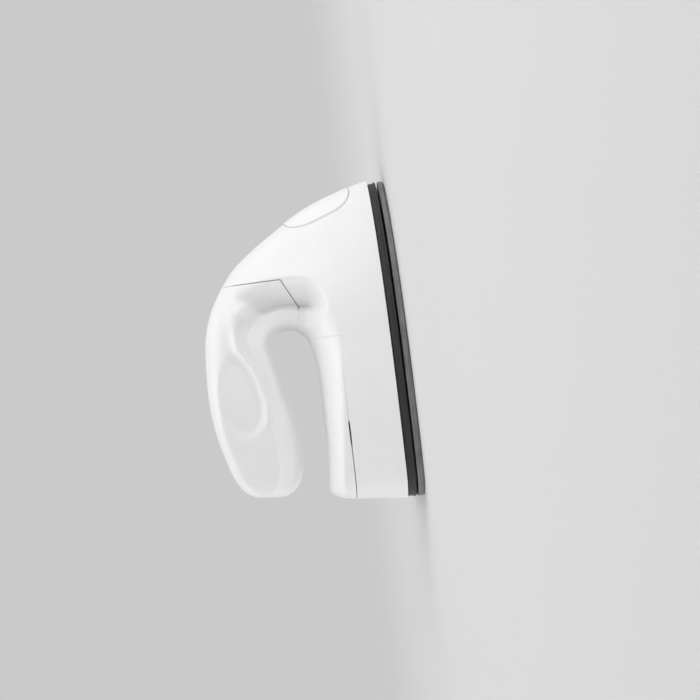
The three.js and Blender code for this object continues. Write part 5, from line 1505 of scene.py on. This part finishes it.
class CRAFTIRON_OT_screws(Operator):
    """Builds every screw of the frame with its cross recess and thread"""

    bl_idname = "object.craft_iron_screws"
    bl_label = "Screws"

    def execute(self, context):
        tree = screw_tree()
        for name in SCREW_DIRECTIONS:
            screw = Screw(name, context.scene.craft_iron_form)
            mesh = shaped(tree, {
                "Material": finish_of("screw_steel", context),
                "Head Diameter": 2 * screw.head_radius,
                "Head Height": screw.head,
                "Shank Diameter": screw.shank,
                "Length": (screw.end - screw.seat).length,
                "Pitch": screw.pitch,
            })
            turn = Vector((0, 0, -1)).rotation_difference(screw.direction).to_matrix().to_4x4()
            mesh.transform(Matrix.Translation(screw.seat) @ turn)
            finished(f"{name}_cross_head", mesh, "screw_steel", name, context)
        return {"FINISHED"}


class CRAFTIRON_OT_frame_finishes(Operator):
    """Gives every node of the frame that still shows its own material"""

    bl_idname = "object.craft_iron_frame_finishes"
    bl_label = "Finishes of the inner pieces"

    def execute(self, context):
        for subpart in frame["record"]["subparts"]:
            node = frame["nodes"][subpart["node"]]
            node.data.materials.clear()
            node.data.materials.append(finish_of(subpart["material_slot"], context))
        return {"FINISHED"}


CAMERA_TARGET = (-2.84 * MM, 0, 20.32 * MM)
SENSOR_WIDTH = 36
CLIP_START = 10 * MM
LAMP_TARGET = (0, 0, 0.03)
# Each softbox: name, its power among the stage's settings, place and size
SOFTBOXES = (
    ("overhead softbox", "top_lamp", (0, -0.12, 0.6), 0.6),
    ("nose softbox", "nose_lamp", (0.62, -0.5, 0.36), 0.5),
    ("tip softbox", "tip_lamp", (0.8, 0.03, 0.4), 0.5),
    ("heel softbox", "heel_lamp", (-0.8, 0.0, 0.42), 0.5),
    ("side softbox", "side_lamp", (0.1, -0.9, 0.35), 0.6),
)
FLOOR_REACH = 3.0
FLOOR_BACK = 1.2
FLOOR_BEND = 0.5
FLOOR_BEND_STEPS = 24
FLOOR_MOTTLE = 40 * MM
# Distances behind the iron at which the backdrop's even level sets in and is full
BACKDROP_START = 0.06
BACKDROP_FULL = 0.5


class CRAFTIRON_OT_stage(Operator):
    """Sets the floor, the lamps and the camera"""

    bl_idname = "object.craft_iron_stage"
    bl_label = "Stage"

    def execute(self, context):
        settings = context.scene.craft_iron_stage
        self.place_camera(context, settings)
        self.lay_floor(settings)
        self.hang_lamps(context, settings)
        context.scene.view_settings.view_transform = "Standard"
        return {"FINISHED"}

    def place_camera(self, context, settings):
        """The photograph's view: the right-hand side, nose up, leaning to the left."""
        lean = settings.camera_roll
        lift = settings.camera_lift
        back = Vector((0, -math.cos(lift), math.sin(lift)))
        level = Vector((0, math.sin(lift), math.cos(lift)))
        ahead = Vector((1, 0, 0))
        right = -math.sin(lean) * ahead - math.cos(lean) * level
        up = math.cos(lean) * ahead - math.sin(lean) * level
        data = bpy.data.cameras.new("Camera")
        data.sensor_width = SENSOR_WIDTH
        data.lens = data.sensor_width * settings.camera_distance / settings.frame_width
        data.clip_start = CLIP_START
        camera = new_object("Camera", data)
        turn = Matrix((right, up, back)).transposed().to_4x4()
        place = Vector(CAMERA_TARGET) + back * settings.camera_distance
        camera.matrix_world = Matrix.Translation(place) @ turn
        context.scene.camera = camera

    def lay_floor(self, settings):
        """A pale floor that curves up behind the iron."""
        flat_end = FLOOR_BACK - FLOOR_BEND
        profile = [(-FLOOR_REACH, 0), (flat_end, 0)]
        for i in range(1, FLOOR_BEND_STEPS + 1):
            angle = math.pi / 2 * i / FLOOR_BEND_STEPS
            profile.append((flat_end + FLOOR_BEND * math.sin(angle), FLOOR_BEND * (1 - math.cos(angle))))
        profile.append((FLOOR_BACK, FLOOR_REACH))
        points = [(x, y, z) for y, z in profile for x in (-FLOOR_REACH, FLOOR_REACH)]
        faces = [(2 * i, 2 * i + 1, 2 * i + 3, 2 * i + 2) for i in range(len(profile) - 1)]
        mesh = new_mesh("floor", points, faces)
        mesh.shade_smooth()
        finish = Finish("Pale floor")
        mottle = finish.noise(FLOOR_MOTTLE, 2.0)
        seen = finish.node("ShaderNodeLightPath", {}, {}, "Is Camera Ray")
        lit = finish.mixed(mottle, opaque(settings.floor), shade(settings.floor, 0.985))
        finish.surface(base_color=finish.mixed(seen, lit, opaque(settings.floor_seen)), roughness=0.9)
        self.lift_backdrop(finish, settings)
        mesh.materials.append(finish.material)
        new_object("floor", mesh)

    def lift_backdrop(self, finish, settings):
        """Shows the backdrop at an even pale level to the camera and to reflections."""
        rays = finish.node("ShaderNodeLightPath", {}, {}, "Is Camera Ray")
        glossy = Value(finish, rays.socket.node.outputs["Is Glossy Ray"])
        clear = Value(finish, rays.socket.node.outputs["Is Transmission Ray"])
        behind = finish.node("ShaderNodeSeparateXYZ", {}, {"Vector": finish.place}, "Y")
        seen = rays.maths("MAXIMUM", glossy).maths("MAXIMUM", clear)
        share = finish.spread(behind, BACKDROP_START, BACKDROP_FULL, 0, 1) * seen
        glow = finish.node(
            "ShaderNodeEmission", {}, {"Color": opaque(settings.backdrop), "Strength": 1.0}, "Emission",
        )
        plain = Value(finish, finish.shader.outputs["BSDF"])
        mix = finish.node("ShaderNodeMixShader", {}, {0: share, 1: plain, 2: glow}, "Shader")
        output = finish.tree.nodes["Material Output"]
        finish.tree.links.new(mix.socket, output.inputs["Surface"])

    def hang_lamps(self, context, settings):
        """Softboxes all round, which the camera doesn't see, and the surround."""
        for name, power, place, size in SOFTBOXES:
            data = bpy.data.lights.new(name, "AREA")
            data.energy = getattr(settings, power)
            data.size = size
            lamp = new_object(name, data)
            lamp.location = place
            lamp.visible_camera = False
            aim = Vector(LAMP_TARGET) - Vector(place)
            lamp.rotation_euler = aim.to_track_quat("-Z", "Y").to_euler()
        context.scene.world = self.tent(settings)

    def tent(self, settings):
        """A white surround that is brighter round the sides than on the camera's side."""
        world = bpy.data.worlds.new("Studio tent")
        world.use_nodes = True
        nodes = Nodes(world.node_tree)
        around = nodes.node("ShaderNodeTexCoord", {}, {}, "Generated")
        ahead = nodes.node("ShaderNodeSeparateXYZ", {}, {"Vector": around}, "Y")
        background = world.node_tree.nodes["Background"]
        nodes.feed(background.inputs["Color"], (1, 1, 1, 1))
        fall = settings.surround - settings.surround_front
        nodes.feed(background.inputs["Strength"], settings.surround - fall * ahead * ahead)
        seen = nodes.node("ShaderNodeLightPath", {}, {}, "Is Camera Ray")
        pale = nodes.node("ShaderNodeBackground", {}, {"Color": opaque(settings.backdrop), "Strength": 1.0})
        lit = Value(nodes, background.outputs["Background"])
        mix = nodes.node("ShaderNodeMixShader", {}, {0: seen, 1: lit, 2: pale}, "Shader")
        nodes.feed(world.node_tree.nodes["World Output"].inputs["Surface"], mix)
        return world


class CRAFTIRON_PT_panel(Panel):
    """Lists the iron's pieces and settings."""

    bl_label = "Craft Iron"
    bl_idname = "CRAFTIRON_PT_panel"
    bl_space_type = "VIEW_3D"
    bl_region_type = "UI"
    bl_category = "Craft Iron"

    def draw(self, context):
        for operator in OPERATORS:
            self.layout.operator(operator.bl_idname)
        for name, kind in GROUPS.items():
            for key in kind.__annotations__:
                self.layout.prop(getattr(context.scene, name), key)


OPERATORS = (
    CRAFTIRON_OT_handle,
    CRAFTIRON_OT_housing,
    CRAFTIRON_OT_bush,
    CRAFTIRON_OT_deck,
    CRAFTIRON_OT_nose_plate,
    CRAFTIRON_OT_sole,
    CRAFTIRON_OT_screws,
    CRAFTIRON_OT_frame_finishes,
    CRAFTIRON_OT_stage,
)
GROUPS = {
    "craft_iron_form": CraftIronForm,
    "craft_iron_finish": CraftIronFinish,
    "craft_iron_stage": CraftIronStage,
}


def register():
    """Registers the groups, operators and panel."""
    for key, group in GROUPS.items():
        bpy.utils.register_class(group)
        setattr(bpy.types.Scene, key, PointerProperty(type=group))
    for item in (*OPERATORS, CRAFTIRON_PT_panel):
        bpy.utils.register_class(item)


def unregister():
    """Removes what register added."""
    for item in (CRAFTIRON_PT_panel, *reversed(OPERATORS)):
        bpy.utils.unregister_class(item)
    for key, group in GROUPS.items():
        delattr(bpy.types.Scene, key)
        bpy.utils.unregister_class(group)


def main():
    """Registers the add-on and builds everything in order."""
    register()
    for operator in OPERATORS:
        kind, name = operator.bl_idname.split(".")
        getattr(getattr(bpy.ops, kind), name)()


if __name__ == "__main__":
    main()
